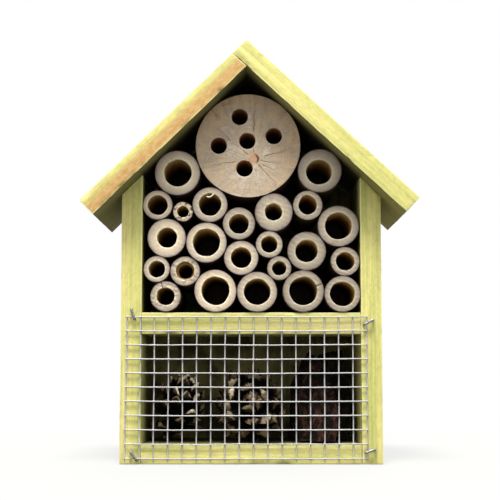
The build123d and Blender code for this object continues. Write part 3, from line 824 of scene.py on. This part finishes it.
def make_cane(node, material, chance):
    """One cane, ring by ring: skin, cut end with its rough face, rim, bore and the node that closes it."""
    a, b = low(node), high(node)
    centre = (a + b) / 2
    axis = upright(centre.x, centre.z)
    radius = (b.x - a.x) / 2
    bore_middle, bore_radius = opening(node + "_bore")
    bore_axis = upright(bore_middle.x, bore_middle.z)
    seed = chance.uniform(0, 50)
    tilt_x, tilt_z = chance.uniform(-0.03, 0.03), chance.uniform(-0.02, 0.02)
    oval, oval_turn = chance.uniform(0.0, 0.02), chance.uniform(0, pi)
    split_width = 0.4 * MM
    roughness = (0.35 if node in ROUGH_CUT else chance.uniform(0.1, 0.2)) * MM
    ledge = INNER_LEDGE.get(node, 100.0) * MM
    tone = 0.1 * chance.uniform(-0.5, 0.5)
    # painted light: canes high under the roof, where its shade falls, get paler faces; canes to the left are paler
    # too
    lowness = (high("drilled_log").z - centre.z) / (high("drilled_log").z - high("shelf_board").z)
    tone += lerp(0.5, 0.05, smooth_step(-5 * MM, 30 * MM, centre.x)) + 0.25 * smooth_step(0.5, 0.35, lowness)
    tone = OWN_TONE.get(node, tone)
    turns = circle(120)
    shape = Shape(*CANE_VALUES)

    def outer(turn):
        bump = 0.5 + 0.5 * wobble((cos(turn), sin(turn), 0), 0.9, seed)
        nick = 0.5 + 0.5 * fine_wobble((cos(turn), sin(turn), 2.0), 0.16, 2, seed + 3)
        return radius * (1 - 0.004 * bump - 0.005 * nick - 0.4 * oval * cos(turn - oval_turn) ** 2)

    def inner(turn):
        bump = wobble((cos(turn), sin(turn), 0.4), 0.55, seed + 7)
        pear = 0.16 * max(0.0, cos(turn - 1.8)) ** 5 if node in PEAR_BORE else 0.0
        return bore_radius * (1.012 + 0.045 * bump - 0.02 * cos(turn - oval_turn) ** 2 + pear)

    def split_at(turn, reach):
        gaps = [abs((turn - at + pi) % (2 * pi) - pi) * reach for at in SPLIT_RIM.get(node, ())]
        return max([1 - smooth_step(0.3 * split_width, split_width, gap) for gap in gaps] + [0.0])

    def ring(share, y, skin=0.0, deep=0.0, face=False, shrink=1.0):
        """Points at this share of the wall, from bore to skin; those of the face stand at its uneven height."""
        made = []
        for turn in turns:
            inside = bore_axis + spoke(turn) * inner(turn) * (shrink if share == 0 else 1)
            outside = axis + spoke(turn) * outer(turn) * (shrink if share == 1 else 1)
            spot = inside.lerp(outside, share)
            height = y
            split = 0.0
            if face:
                lean = (spot.x - centre.x) * tilt_x + (spot.z - centre.z) * tilt_z + radius * 0.03
                saw = 0.05 * MM * sin((spot.x * 0.35 + spot.z) / (0.55 * MM) + seed)
                torn = roughness * (1 + fine_wobble(spot, 0.0009, 3, seed))
                split = split_at(turn, (spot - axis).length)
                height += max(0.0, lean + saw + torn)
                height += split * 0.9 * MM
                if node in ROUGH_CUT:
                    split = max(split, ROUGH_CUT[node] * smooth_step(0.0, 0.4, fine_wobble(spot, 0.0019, 2, seed)))
            spot.y = height
            made.append(shape.add(spot, across=share, deep=deep, skin=skin, tone=tone, split=split))
        return made

    back_to_front = (b.y, lerp(b.y, a.y, 0.4), lerp(b.y, a.y, 0.75), a.y + 3 * MM, a.y + 0.7 * MM)
    rings = [ring(1, y, skin=1.0) for y in back_to_front]
    rings.append(ring(1, a.y + 0.1 * MM, skin=0.7, face=True, shrink=0.998))
    rings.append(ring(1, a.y, face=True, shrink=0.982))
    rings += [ring(share, a.y, face=True) for share in (0.9, 0.8, 0.68, 0.56, 0.44, 0.32, 0.2, 0.1, 0.05)]
    rings.append(ring(0, a.y + 0.05 * MM, face=True, shrink=1.01))
    rings.append(ring(0, a.y + 0.5 * MM, deep=0.015, face=True, shrink=0.99))
    depth = 2 * (bore_middle.y - a.y)
    for share in (0.03, 0.06, 0.1, 0.16, 0.25, 0.4, 0.6, 0.8, 0.96):
        past_ledge = share * depth > ledge
        if past_ledge and share * depth < ledge + 0.07 * depth:
            rings.append(ring(0, a.y + ledge, deep=0.6, shrink=0.97))
            rings.append(ring(0, a.y + ledge + 0.3 * MM, deep=0.5, shrink=0.82))
        rings.append(ring(0, a.y + share * depth, deep=share, shrink=0.8 if past_ledge else 1.0))
    rings.append(ring(0, a.y + 0.985 * depth, deep=1.0, shrink=0.8))
    rings.append(ring(0, a.y + 0.975 * depth, deep=1.0, shrink=0.4))
    shape.skin(rings)
    shape.cap(rings[-1], Vector((bore_middle.x, a.y + 0.97 * depth, bore_middle.z)), deep=1.0, tone=tone)
    shape.cap(rings[0], Vector((centre.x, b.y, centre.z)), skin=1.0, tone=tone)
    shape.build(node + "_tube", material, "bamboo", (node,))


def make_splinter(material):
    """A white splinter that hangs in the mouth of one cane's bore."""
    middle, radius = opening("cane_05_bore")
    front = low("cane_05").y
    path = []
    for index in range(9):
        t = index / 8
        x = lerp(-0.3, 0.28, t) * radius
        z = (0.72 + 0.16 * t - 0.12 * sin(pi * t)) * radius
        path.append(Vector((middle.x + x, front + (0.9 + 0.5 * sin(5 * t)) * MM, middle.z + z)))
    path.append(Vector((middle.x + 0.26 * radius, front + 1.6 * MM, middle.z + radius)))
    radii = [(0.3 + 0.2 * sin(pi * index / 9) + 0.06 * wobble(p, 0.001, 1)) * MM for index, p in enumerate(path)]
    shape = Shape(*CANE_VALUES)
    sweep(shape, path, radii, 8, 0.6, tone=1.0)
    shape.build("cane_05_splinter", material, "bamboo")


def make_canes():
    chance = random.Random(23)
    material = bamboo()
    make_splinter(material)
    for node in sorted(name for name in nodes if name.startswith("cane_")):
        make_cane(node, material, chance)


# ---------------------------------------------------------------- drilled log


PITH = upright(3.6, -9.8) * MM  # from the log's centre
LOG_CHECKS = (  # turn in degrees round the pith, start and end in mm from it, half width in mm
    (89, 5, 19, 0.2), (88, 21, 39, 0.3), (112, 24, 40, 0.1),
    (139, 5, 19, 0.26), (140, 21, 37, 0.2), (158, 8, 20, 0.09),
    (172, 14, 30, 0.09), (189, 13, 31, 0.2), (214, 6, 20, 0.14),
    (236, 9, 22, 0.08), (255, 5, 16, 0.1), (281, 8, 22, 0.12),
    (312, 5, 26, 0.2), (330, 8, 24, 0.11), (349, 5, 22, 0.16),
    (15, 9, 29, 0.2), (40, 14, 36, 0.13), (62, 18, 39, 0.1),
)
GRID_STEP = 0.72 * MM  # between the points of the log's end


def check_line(turn, start, end, step):
    """Points along a wandering drying crack in the log's end, from its pith outwards."""
    line = []
    reach = start
    while reach <= end:
        bend = radians(turn) + 0.05 * wobble((reach * MM, turn, 0), 0.006, 3.0) + 0.008 * sin(reach * 1.7 + turn)
        line.append(PITH + spoke(bend) * reach * MM)
        reach += step
    return line


def make_log():
    """The log's sawn end with its bores, drying cracks and torn edges, and its round side."""
    node = "drilled_log"
    a, b = low(node), high(node)
    centre = Vector(((a.x + b.x) / 2, a.y, (a.z + b.z) / 2))
    radius = (b.x - a.x) / 2
    bores = []
    for number in range(1, 6):
        middle, bore_radius = opening(f"log_bore_{number}")
        bores.append((middle, bore_radius, Vector((middle.x - centre.x, middle.z - centre.z))))
    turns, few = circle(240), circle(80)
    chance = random.Random(7)
    checks = []
    for turn, start, end, width in LOG_CHECKS:
        line = check_line(turn, start, end, 0.45)
        checks += [(p, width * MM * (1.15 - index / len(line))) for index, p in enumerate(line)]

    def rim(turn):
        bump = 0.5 + 0.5 * fine_wobble((cos(turn), sin(turn), 0), 0.7, 3, 4.0)
        return radius * (1 - 0.008 * bump)

    def bore_edge(number, turn):
        tear = fine_wobble((cos(turn) * 2, sin(turn) * 2, number * 3.0), 0.5, 3, 2.0)
        return bores[number][1] * (1 + 0.012 * tear)

    flat = []
    loops = []

    def add_loop(points):
        start = len(flat)
        flat.extend(points)
        loops.extend((start + i, start + (i + 1) % len(points)) for i in range(len(points)))
        return list(range(start, len(flat)))

    outline = add_loop([Vector((cos(t) * rim(t) * 0.996, sin(t) * rim(t) * 0.996)) for t in turns])
    flat.extend(Vector((cos(t) * rim(t) * 0.989, sin(t) * rim(t) * 0.989)) for t in turns)
    mouths = []
    for number, (_, bore_radius, off) in enumerate(bores):
        edge = [(t, bore_edge(number, t)) for t in few]
        mouths.append(add_loop([Vector((off.x + cos(t) * side, off.y + sin(t) * side)) for t, side in edge]))
        for share in (1.05, 1.12, 1.22):
            for t in few:
                flat.append(Vector((off.x + cos(t) * bore_radius * share, off.y + sin(t) * bore_radius * share)))
    for point, width in checks:
        away = (point - PITH).normalized()
        side = upright(-away.z, away.x)
        for shift in (-1.0, 0.0, 1.0):
            place = point + side * width * shift
            flat.append(Vector((place.x, place.z)))
    count = int(radius / GRID_STEP) + 1
    for i in range(-count, count + 1):
        for j in range(-count, count + 1):
            x = (i + 0.5 * (j % 2) + chance.uniform(-0.25, 0.25)) * GRID_STEP
            z = (j * 0.87 + chance.uniform(-0.25, 0.25)) * GRID_STEP
            if hypot(x, z) < radius * 0.978:
                flat.append(Vector((x, z)))

    def in_bore(point, share):
        return any((point - off).length < bore_radius * share for _, bore_radius, off in bores)

    def clear(point):
        return not in_bore(point, 1.01) and point.length < rim(atan2(point.y, point.x)) * 0.992

    fixed = set(outline).union(*mouths)
    keep = [index for index, point in enumerate(flat) if index in fixed or clear(point)]
    place_of = {old: new for new, old in enumerate(keep)}
    spots = [flat[index] for index in keep]
    edges = [(place_of[i], place_of[j]) for i, j in loops]
    spots, _, faces, origins, *_ = geometry.delaunay_2d_cdt(spots, edges, [], 0, 1e-7)
    new_of = {old: new for new, sources in enumerate(origins) for old in sources}
    near_checks = kdtree.KDTree(len(checks))
    for index, (point, _) in enumerate(checks):
        near_checks.insert(point, index)
    near_checks.balance()
    shape = Shape("ring", "ray", "brown", "pith", "check", "deep")
    for spot in spots:
        place = upright(spot.x, spot.y)
        from_pith = place - PITH
        reach = from_pith.length
        turn = atan2(from_pith.z, from_pith.x)
        _, index, distance = near_checks.find(place)
        width = checks[index][1]
        crack = 1 - smooth_step(0.15 * width, 0.95 * width, distance)
        ray = 0.5 + 0.5 * fine_wobble((turn * 14.0, reach * 60, 0), 1.0, 3, 6.0)
        across, up, out = place.x / radius, place.z / radius, place.length / radius
        weathered = 0.35 + 0.65 * smooth_step(-0.7, 0.3, up + 0.4 * abs(across))
        brown = 0.16 + 0.1 * smooth_step(0.05, 0.95, up) + 0.2 * smooth_step(0.62, 1.0, out) * weathered
        brown += 0.15 * smooth_step(0.3, 0.8, -across * 0.7 + up * 0.6) + 0.14 * smooth_step(0.2, 0.9, across)
        knot = 0.42 * (1 - smooth_step(3.0 * MM, 3.6 * MM, abs(reach - 0.3 * MM * cos(2 * turn))))
        knot += 1.2 * exp(-(((reach - 3.8 * MM) / (0.7 * MM)) ** 2)) * (0.1 + 0.9 * max(0.0, cos(turn - 0.3)))
        gap = min((spot - off).length - bore_radius for _, bore_radius, off in bores)
        torn = 1 - smooth_step(0.1 * MM, 1.3 * MM, gap)
        lit_rim = smooth_step(0.95, 0.985, out) * smooth_step(-0.5, 0.2, -up)
        brown -= 0.3 * max(torn, lit_rim)
        relief = 0.1 * MM * (1 + fine_wobble(place, 0.0022, 4, 1.0))
        relief += 0.015 * MM * (1 + sin((place.z * 0.94 + place.x * 0.33) / (0.42 * MM)))
        relief += 0.25 * MM * torn * (0.5 + 0.5 * fine_wobble(place, 0.0011, 2, 5.0))
        relief += 0.9 * MM * crack * min(1.0, width / (0.2 * MM))
        rim_near = smooth_step(0.975, 0.99, place.length / rim(atan2(place.z, place.x)))
        relief += 0.06 * MM * rim_near
        shape.add(
            centre + place + Vector((0, relief, 0)),
            ring=reach / MM / 40,
            ray=ray,
            brown=min(1.0, max(0.0, brown)),
            pith=knot,
            check=crack * min(1.0, 0.45 + width / (0.4 * MM)),
        )
    for face in faces:
        if not in_bore(sum((spots[index] for index in face), Vector((0, 0))) / len(face), 0.985):
            shape.faces.append(tuple(face))

    def side_spot(turn, y):
        side = rim(turn) * (1 - 0.004 * (1 + wobble((cos(turn), sin(turn), y * 60), 0.4, 9.0)))
        return Vector((centre.x + cos(turn) * side, y, centre.z + sin(turn) * side))

    def bore_spot(number, turn, share, narrow):
        grain = 1 + 0.01 * wobble((cos(turn), sin(turn), share * 9), 0.4, number)
        side = bore_edge(number, turn) * grain * narrow
        middle, _, off = bores[number]
        y = a.y + share * 2 * (middle.y - a.y)
        return Vector((centre.x + off.x + cos(turn) * side, y, centre.z + off.y + sin(turn) * side))

    rings = [[new_of[place_of[index]] for index in outline]]
    for y in (a.y + 0.35 * MM, a.y + 0.6 * MM, a.y + 5 * MM, lerp(a.y, b.y, 0.4), b.y):
        skin = 0.8 if y > a.y + 0.5 * MM else 0.1
        rings.append([shape.add(side_spot(turn, y), brown=0.85, ray=0.5, check=skin) for turn in turns])
    shape.skin(rings)
    shape.cap(rings[-1], Vector((centre.x, b.y, centre.z)), brown=0.6, ray=0.5, check=0.4)
    for number, (middle, _, _) in enumerate(bores):
        rings = [[new_of[place_of[index]] for index in mouths[number]]]
        for share in (0.012, 0.04, 0.1, 0.2, 0.35, 0.55, 0.75, 0.93, 0.97):
            narrow = {0.012: 1.0, 0.97: 0.495}.get(share, 0.99)
            look = {"deep": 0.35 + 0.65 * share, "brown": 0.8, "ray": 0.5}
            rings.append([shape.add(bore_spot(number, turn, share, narrow), **look) for turn in few])
        shape.skin(rings)
        end = Vector((middle.x, a.y + 0.985 * 2 * (middle.y - a.y), middle.z))
        shape.cap(rings[-1], end, deep=1.0, brown=0.8, ray=0.5)
    shape.build("drilled_log_wood", log_end(), "log_wood", (node,))


# ---------------------------------------------------------------- wires, staples and nails


def sweep(shape, path, radii, sides=10, flat=1.0, **values):
    """A closed tube along a path, its radius given at each point; flat squeezes it one way."""
    rings = []
    up = Vector((0.31, 0.62, 0.72))
    for index, place in enumerate(path):
        way = (path[min(index + 1, len(path) - 1)] - path[max(index - 1, 0)]).normalized()
        side = way.cross(up).normalized()
        up = side.cross(way).normalized()
        spots = [place + (side * cos(turn) * flat + up * sin(turn)) * radii[index] for turn in circle(sides)]
        rings.append([shape.add(spot, **values) for spot in spots])
    shape.skin(rings)
    first = (path[1] - path[0]).normalized()
    last = (path[-1] - path[-2]).normalized()
    shape.cap(rings[0], path[0] - first * radii[0] * 0.4, **values)
    shape.cap(rings[-1], path[-1] + last * radii[-1] * 0.4, **values)


def mesh_shift(x, z):
    """How hand-fitted mesh strays from a true grid, the same for both sets of wires."""
    a, b = boxes["mesh_level_wires"]
    left = smooth_step(a.x + 0.022, a.x, x)
    dx = 0.35 * MM * wobble((x, 0, z), 0.035, 2.0) + 0.9 * MM * left * (z - a.z) / (b.z - a.z)
    dz = 0.35 * MM * wobble((x, 0, z), 0.045, 12.0) - 0.25 * MM * sin(pi * (x - a.x) / (b.x - a.x))
    return dx, dz


def make_mesh():
    """Welded wires: each strays a little, thickens at its welds and carries spatters of zinc."""
    zinc = galvanised("galvanised_wire", srgb(196, 196, 198), 0.12, 0.25)
    uprights = [sum(p.x for p in group) / len(group) for group in islands("mesh_upright_wires")]
    levels = [sum(p.z for p in group) / len(group) for group in islands("mesh_level_wires")]
    radius, margin, step = 0.5 * MM, 0.4 * MM, 0.9 * MM

    def stray(place, along_z, seed):
        dx, dz = mesh_shift(place.x, place.z)
        kink = 0.1 * MM * wobble(place, 0.008, seed)
        return place + Vector((dx + kink if along_z else 0, 0.06 * kink, 0 if along_z else dz + kink))

    for node, along_z, here, there in (
        ("mesh_upright_wires", True, uprights, levels),
        ("mesh_level_wires", False, levels, uprights),
    ):
        a, b = low(node), high(node)
        first, last = (a.z, b.z) if along_z else (a.x, b.x)
        shape = Shape()
        for number, fixed in enumerate(sorted(here)):
            path, radii = [], []
            count = round((last - first - 2 * margin) / step)
            for index in range(count + 1):
                along = lerp(first + margin, last - margin, index / count)
                x, z = (fixed, along) if along_z else (along, fixed)
                place = Vector((x, (a.y + b.y) / 2, z))
                near = min(abs(along - cross) for cross in there)
                weld = 1 - smooth_step(0.4 * MM, 1.3 * MM, near)
                path.append(stray(place, along_z, number))
                lump = 0.02 * wobble(place, 0.003, number)
                radii.append(radius * (0.93 + lump + 0.13 * weld))
            sweep(shape, path, radii)
        shape.build(node + "_zinc", zinc, "galvanised_wire", (node,))


def make_staples():
    """Bent flat-topped staples, each crown a little crushed by the hammer."""
    shape = Shape()
    for number, group in enumerate(islands("mesh_staples")):
        a = Vector([min(p[axis] for p in group) for axis in range(3)])
        b = Vector([max(p[axis] for p in group) for axis in range(3)])
        middle = (a + b) / 2
        crown = [p - middle for p in group if p.y < a.y + 0.6 * MM]
        spread = sum(p.x * p.x - p.z * p.z for p in crown), sum(2 * p.x * p.z for p in crown)
        slope = atan2(spread[1], spread[0]) / 2
        along = spoke(slope)
        half = max(abs(p.dot(along)) for p in crown) + 0.35 * MM
        steel = 0.58 * MM
        half -= steel
        tip = b.y - 0.5 * MM
        corners = [(-half, tip), (-half, a.y + steel), (half, a.y + steel), (half, tip)]
        path = []
        for (s0, y0), (s1, y1) in zip(corners, corners[1:]):
            for index in range(14):
                t = index / 14
                path.append(middle + along * lerp(s0, s1, t) + Vector((0, lerp(y0, y1, t) - middle.y, 0)))
        path.append(middle + along * half + Vector((0, tip - middle.y, 0)))
        rounded = [path[0]]
        for index in range(1, len(path) - 1):
            blend = (path[index - 1] + path[index] * 1.4 + path[index + 1]) / 3.4
            kink = upright(wobble(path[index], 0.002, number), wobble(path[index], 0.002, number + 9))
            rounded.append(blend + kink * 0.14 * MM)
        rounded.append(path[-1])
        radii = [steel * (1.75 + 0.18 * wobble(p, 0.0012, number + 3)) for p in rounded]
        sweep(shape, rounded, radii, 12, 0.8)
    paint = galvanised("staple_steel", srgb(150, 150, 152), 0.5)
    shape.build("mesh_staples_steel", paint, "staple_steel", ("mesh_staples",))


def lathe(shape, head, way, profile, seed):
    """A turned piece: profile is (distance along, radius) from its head's middle, in mm."""
    side = way.orthogonal().normalized()
    up = way.cross(side)
    rings = []
    for along, radius in profile:
        ring = []
        for turn in circle(28):
            rough = 1 + 0.03 * wobble((cos(turn), sin(turn), along), 0.7, seed)
            spot = head + way * along * MM + (side * cos(turn) + up * sin(turn)) * radius * rough * MM
            ring.append(shape.add(spot))
        rings.append(ring)
    shape.skin(rings)
    shape.cap(rings[0], head + way * profile[0][0] * MM)
    shape.cap(rings[-1], head + way * profile[-1][0] * MM)


# A head's radius, its height, the shank's radius and how far the head is domed, in mm
NAIL = (2.0, 1.0, 0.9, 0.2)
PIN = (1.5, 0.6, 0.7, 0.15)


def make_nails(node, way, size, material):
    """Nails with slightly domed heads. Way leads from head to tip: one for all, or a function of a nail's points."""
    broad, thick, shank, proud = size
    shape = Shape()
    for number, group in enumerate(islands(node)):
        direction = Vector(way(group) if callable(way) else way).normalized()
        nearest = min(p.dot(direction) for p in group)
        top = [p for p in group if p.dot(direction) < nearest + 1e-5]
        centre = sum(top, Vector()) / len(top)
        length = (max(p.dot(direction) for p in group) - nearest) / MM
        profile = [(-proud, 0.05), (-proud, broad * 0.45), (-proud * 0.8, broad * 0.75)]
        profile += [(-proud * 0.3, broad * 0.94), (0.1, broad * 0.985), (thick, broad * 0.97)]
        profile += [(thick + 0.15, shank), (length - 2.2 * shank, shank), (length - 0.1, 0.25 * shank)]
        lathe(shape, centre, direction, profile, number)
    shape.build(node + "_steel", material, "nail_steel", (node,))


def make_screws(node, material):
    """Pan-head screws with a cross recess, their heads as fine polar grids."""
    shape = Shape()
    for number, group in enumerate(islands(node)):
        out = max(p.y for p in group)
        top = [p for p in group if p.y > out - 1e-5]
        centre = sum(top, Vector()) / len(top)
        far = min(p.y for p in group)
        radius, height = 2.8, 1.8
        turn_off = 0.4 + number * 0.9
        turns = circle(64)
        rings = []
        for share in (0.06, 0.14, 0.22, 0.3, 0.38, 0.46, 0.54, 0.62, 0.72, 0.82, 0.91, 0.97, 1.0):
            ring = []
            for turn in turns:
                x, z = cos(turn) * share * radius, sin(turn) * share * radius
                u = x * cos(turn_off) + z * sin(turn_off)
                v = z * cos(turn_off) - x * sin(turn_off)
                slot = max(
                    (1 - smooth_step(0.24, 0.4, abs(u))) * (1 - smooth_step(1.25, 1.5, abs(v))),
                    (1 - smooth_step(0.24, 0.4, abs(v))) * (1 - smooth_step(1.25, 1.5, abs(u))),
                )
                sink = 0.7 * height * (1 - sqrt(max(0.0, 1 - (share * 0.96) ** 2))) + 0.95 * slot
                ring.append(shape.add(Vector((centre.x + x * MM, out - sink * MM, centre.z + z * MM))))
            rings.append(ring)
        shape.cap(rings[0], Vector((centre.x, out - 0.95 * MM, centre.z)))
        neck = out - (height + 0.1) * MM
        for y, reach in ((out - height * MM, 2.75), (neck, 1.5), (far + 3 * MM, 1.5), (far, 0.3)):
            ring = []
            for turn in turns:
                spot = Vector((centre.x + cos(turn) * reach * MM, y, centre.z + sin(turn) * reach * MM))
                ring.append(shape.add(spot))
            rings.append(ring)
        shape.skin(rings)
        shape.cap(rings[-1], Vector((centre.x, far, centre.z)))
    shape.build(node + "_steel", material, "nail_steel", (node,))


def make_fasteners():
    steel = nail_steel()
    make_nails("wall_nails", lambda group: (-1 if group[0].x > 0 else 1, 0, 0), NAIL, steel)
    make_nails("back_panel_pins", (0, -1, 0), PIN, steel)
    make_nails("eave_nails", (0, 0, -1), NAIL, steel)
    slope = (corner("roof_board_right", 1, 0) - corner("roof_board_right", 0, 1)).normalized()
    make_nails("ridge_nails", (slope.z, 0, -slope.x), NAIL, steel)
    make_screws("hanger_screws", steel)


def make_hanger():
    """The zinc-plated strap: the CAD shape with its edges eased."""
    strap = nodes["hanger_plate"]
    strap.data.materials.clear()
    strap.data.materials.append(galvanised("zinc_plate", srgb(188, 188, 186)))
    ease = strap.modifiers.new("ease", "BEVEL")
    ease.width = 0.25 * MM
    ease.segments = 2
    ease.limit_method = "ANGLE"
    ease.angle_limit = radians(40)


# ---------------------------------------------------------------- pine cones and bark


def add_scale(shape, root, out, up, length, width, thickness, tone, seed):
    """One woody scale: narrow at its root, broad and thick at its ragged pale tip."""
    side = out.cross(up).normalized()
    along_count, across_count = 11, 9
    grids = []
    for face in (1, -1):
        grid = []
        for i in range(along_count):
            s = i / (along_count - 1)
            spread = width / 2 * (0.3 + 0.7 * sin(pi * min(1.0, s * 0.72 + 0.05)) ** 0.8)
            spread *= 1 - 0.5 * smooth_step(0.82, 1.0, s)
            thick = thickness * (0.35 + 0.9 * smooth_step(0.55, 0.88, s)) * (1 - 0.45 * smooth_step(0.95, 1.0, s))
            row = []
            for j in range(across_count):
                t = 2 * j / (across_count - 1) - 1
                round_off = sqrt(max(0.0, 1 - t * t))
                reach = s * length * (1 - 0.14 * t * t * s)
                lift = (0.16 * s * s * length) + face * thick / 2 * round_off
                lift -= 0.12 * width * t * t
                place = root + out * reach + up * lift + side * spread * t
                ragged = smooth_step(0.6, 1.0, s)
                place += out * length * 0.16 * ragged * wobble(place, 0.0021, seed)
                place += up * 0.5 * MM * ragged * wobble(place, 0.0016, seed + 4)
                if face > 0:
                    peak = exp(-(((s - 0.86) / 0.1) ** 2) - (t / 0.4) ** 2)
                    place += up * 0.8 * MM * peak
                tip = smooth_step(0.6, 0.92, s + 0.08 * wobble(place, 0.002, seed + 8)) * (0.7 + 0.3 * (face > 0))
                row.append(shape.add(place, tip=tip, tone=tone))
            grid.append(row)
        grids.append(grid)
    for grid in grids:
        for first, second in zip(grid, grid[1:]):
            shape.bridge(first, second, closed=False)
    shape.bridge(border(grids[0]), border(grids[1]))


def make_cone(node, axis, scales, angles, reach_share, painted_front_light, seed):
    """A pine cone of separate scales set in a spiral round its core, inside the CAD cone's box."""
    a, b = low(node), high(node)
    axis = Vector(axis).normalized()
    main = max(range(3), key=lambda i: abs(axis[i]))
    length = (b - a)[main] * 0.95
    width = sum((b - a)[i] for i in range(3) if i != main) / 2
    start = (a + b) / 2 - axis * length / 2
    side = axis.cross(Vector((0.3, 0.2, 1))).normalized()
    front = side.cross(axis)
    chance = random.Random(seed)
    shape = Shape("tip", "tone")
    core = width * 0.12
    rings = []
    for s in (0.0, 0.05, 0.3, 0.6, 0.8, 0.9):
        thick = core * (0.6 + 0.6 * sin(pi * min(0.9, s + 0.15)))
        spots = [start + axis * s * length + (side * cos(t) + front * sin(t)) * thick for t in circle(16)]
        rings.append([shape.add(spot, tip=0.1, tone=0.3) for spot in spots])
    shape.skin(rings)
    shape.cap(rings[0], start, tip=0.1, tone=0.3)
    shape.cap(rings[-1], start + axis * length * 0.92, tip=0.2, tone=0.3)
    for index in range(scales):
        t = (index + 0.5) / scales
        angle = index * radians(137.508) + chance.uniform(-0.12, 0.12)
        radial = side * cos(angle) + front * sin(angle)
        closing = smooth_step(0.7, 1.0, t)
        lean = radians(lerp(lerp(angles[0], angles[1], t**0.8), 6.0, closing) + chance.uniform(-11, 11))
        out = (radial * sin(lean) + axis * cos(lean)).normalized()
        up = (axis * sin(lean) - radial * cos(lean)).normalized()
        long = width / 2 * (0.62 + 0.42 * sin(pi * (0.15 + 0.75 * t))) * reach_share * chance.uniform(0.88, 1.04)
        root = start + axis * lerp(0.08, 0.82, t) * length + radial * core * 0.5
        broad = width * 0.235 * (0.6 + 0.5 * sin(pi * (0.1 + 0.75 * t))) * chance.uniform(0.85, 1.1)
        # painted light: scales towards the cone's front end get paler, those at its back darker, over a random tone
        tone = min(1.0, lerp(0.1, 1.0, t * painted_front_light) * chance.uniform(0.35, 1.0))
        room = length * (1.02 - lerp(0.08, 0.82, t))
        long = min(long, room / max(0.3, cos(lean)))
        add_scale(shape, root, out, up, long, broad, broad * 0.34, tone, 17 * seed + index)
    for point in shape.points:
        for i in range(3):
            point[i] = min(max(point[i], a[i]), b[i])
    return shape


def make_cones():
    material = cone_scale()
    left = make_cone("pine_cone_left", (0.25, -0.6, 0.8), 40, (104, 30), 1.12, 1.5, 3)
    left.build("pine_cone_left_scales", material, "pine_cone", ("pine_cone_left",))
    middle = make_cone("pine_cone_middle", (0.12, -1.0, 0.22), 44, (102, 34), 1.0, 1.0, 11)
    middle.build("pine_cone_middle_scales", material, "pine_cone", ("pine_cone_middle",))


def make_chips():
    """Bark chips: the CAD slabs broken up finely, with flaking layers and torn edges."""
    red = bark("bark_red", 2.0, (17, 11, 9), (88, 54, 44))
    brown = bark("bark_brown", 9.0, (14, 10, 8), (78, 58, 50))
    dark = bark("bark_dark", 5.0, (10, 8, 6), (44, 33, 28))
    looks = {1: red, 2: red, 3: dark, 4: brown, 5: dark, 6: brown}
    longest = 1.5 * MM  # edge of the fine mesh
    for number in range(1, 7):
        node = f"bark_chip_{number}"
        seed = number * 5.0
        builder = bmesh.new()
        builder.from_mesh(nodes[node].data)
        bmesh.ops.remove_doubles(builder, verts=builder.verts, dist=1e-6)
        bmesh.ops.triangulate(builder, faces=builder.faces)
        for _ in range(7):
            long = [edge for edge in builder.edges if edge.calc_length() > longest]
            if not long:
                break
            bmesh.ops.subdivide_edges(builder, edges=long, cuts=1, use_grid_fill=False)
            bmesh.ops.triangulate(builder, faces=[face for face in builder.faces if len(face.verts) > 3])
        bmesh.ops.smooth_vert(
            builder, verts=builder.verts, factor=0.6, use_axis_x=True, use_axis_y=True, use_axis_z=True
        )
        builder.normal_update()
        moves = []
        for vert in builder.verts:
            place = vert.co
            flakes = fine_wobble((place.x, place.y, place.z * 0.45), 0.009, 4, seed)
            terrace = 0.6 * round(flakes * 3) / 3 + 0.4 * flakes
            inward = 0.8 * MM * (1 + terrace) + 0.4 * MM * fine_wobble(place, 0.0018, 3, seed + 3)
            edge = 1 - abs(vert.normal.y)
            inward += 2.4 * MM * edge * max(0.0, 0.3 + wobble(place, 0.006, seed + 6)) * (place.z > 0.016)
            moves.append((vert, vert.normal * -max(0.0, inward)))
        for vert, move in moves:
            vert.co += move
        mesh = bpy.data.meshes.new(node + "_flakes")
        builder.to_mesh(mesh)
        builder.free()
        finish_piece(node + "_flakes", mesh, looks[number], (node,))


# ---------------------------------------------------------------- the scene


add_stage()
make_boards()
make_back_panel()
make_canes()
make_log()
make_mesh()
make_staples()
make_fasteners()
make_hanger()
make_cones()
make_chips()
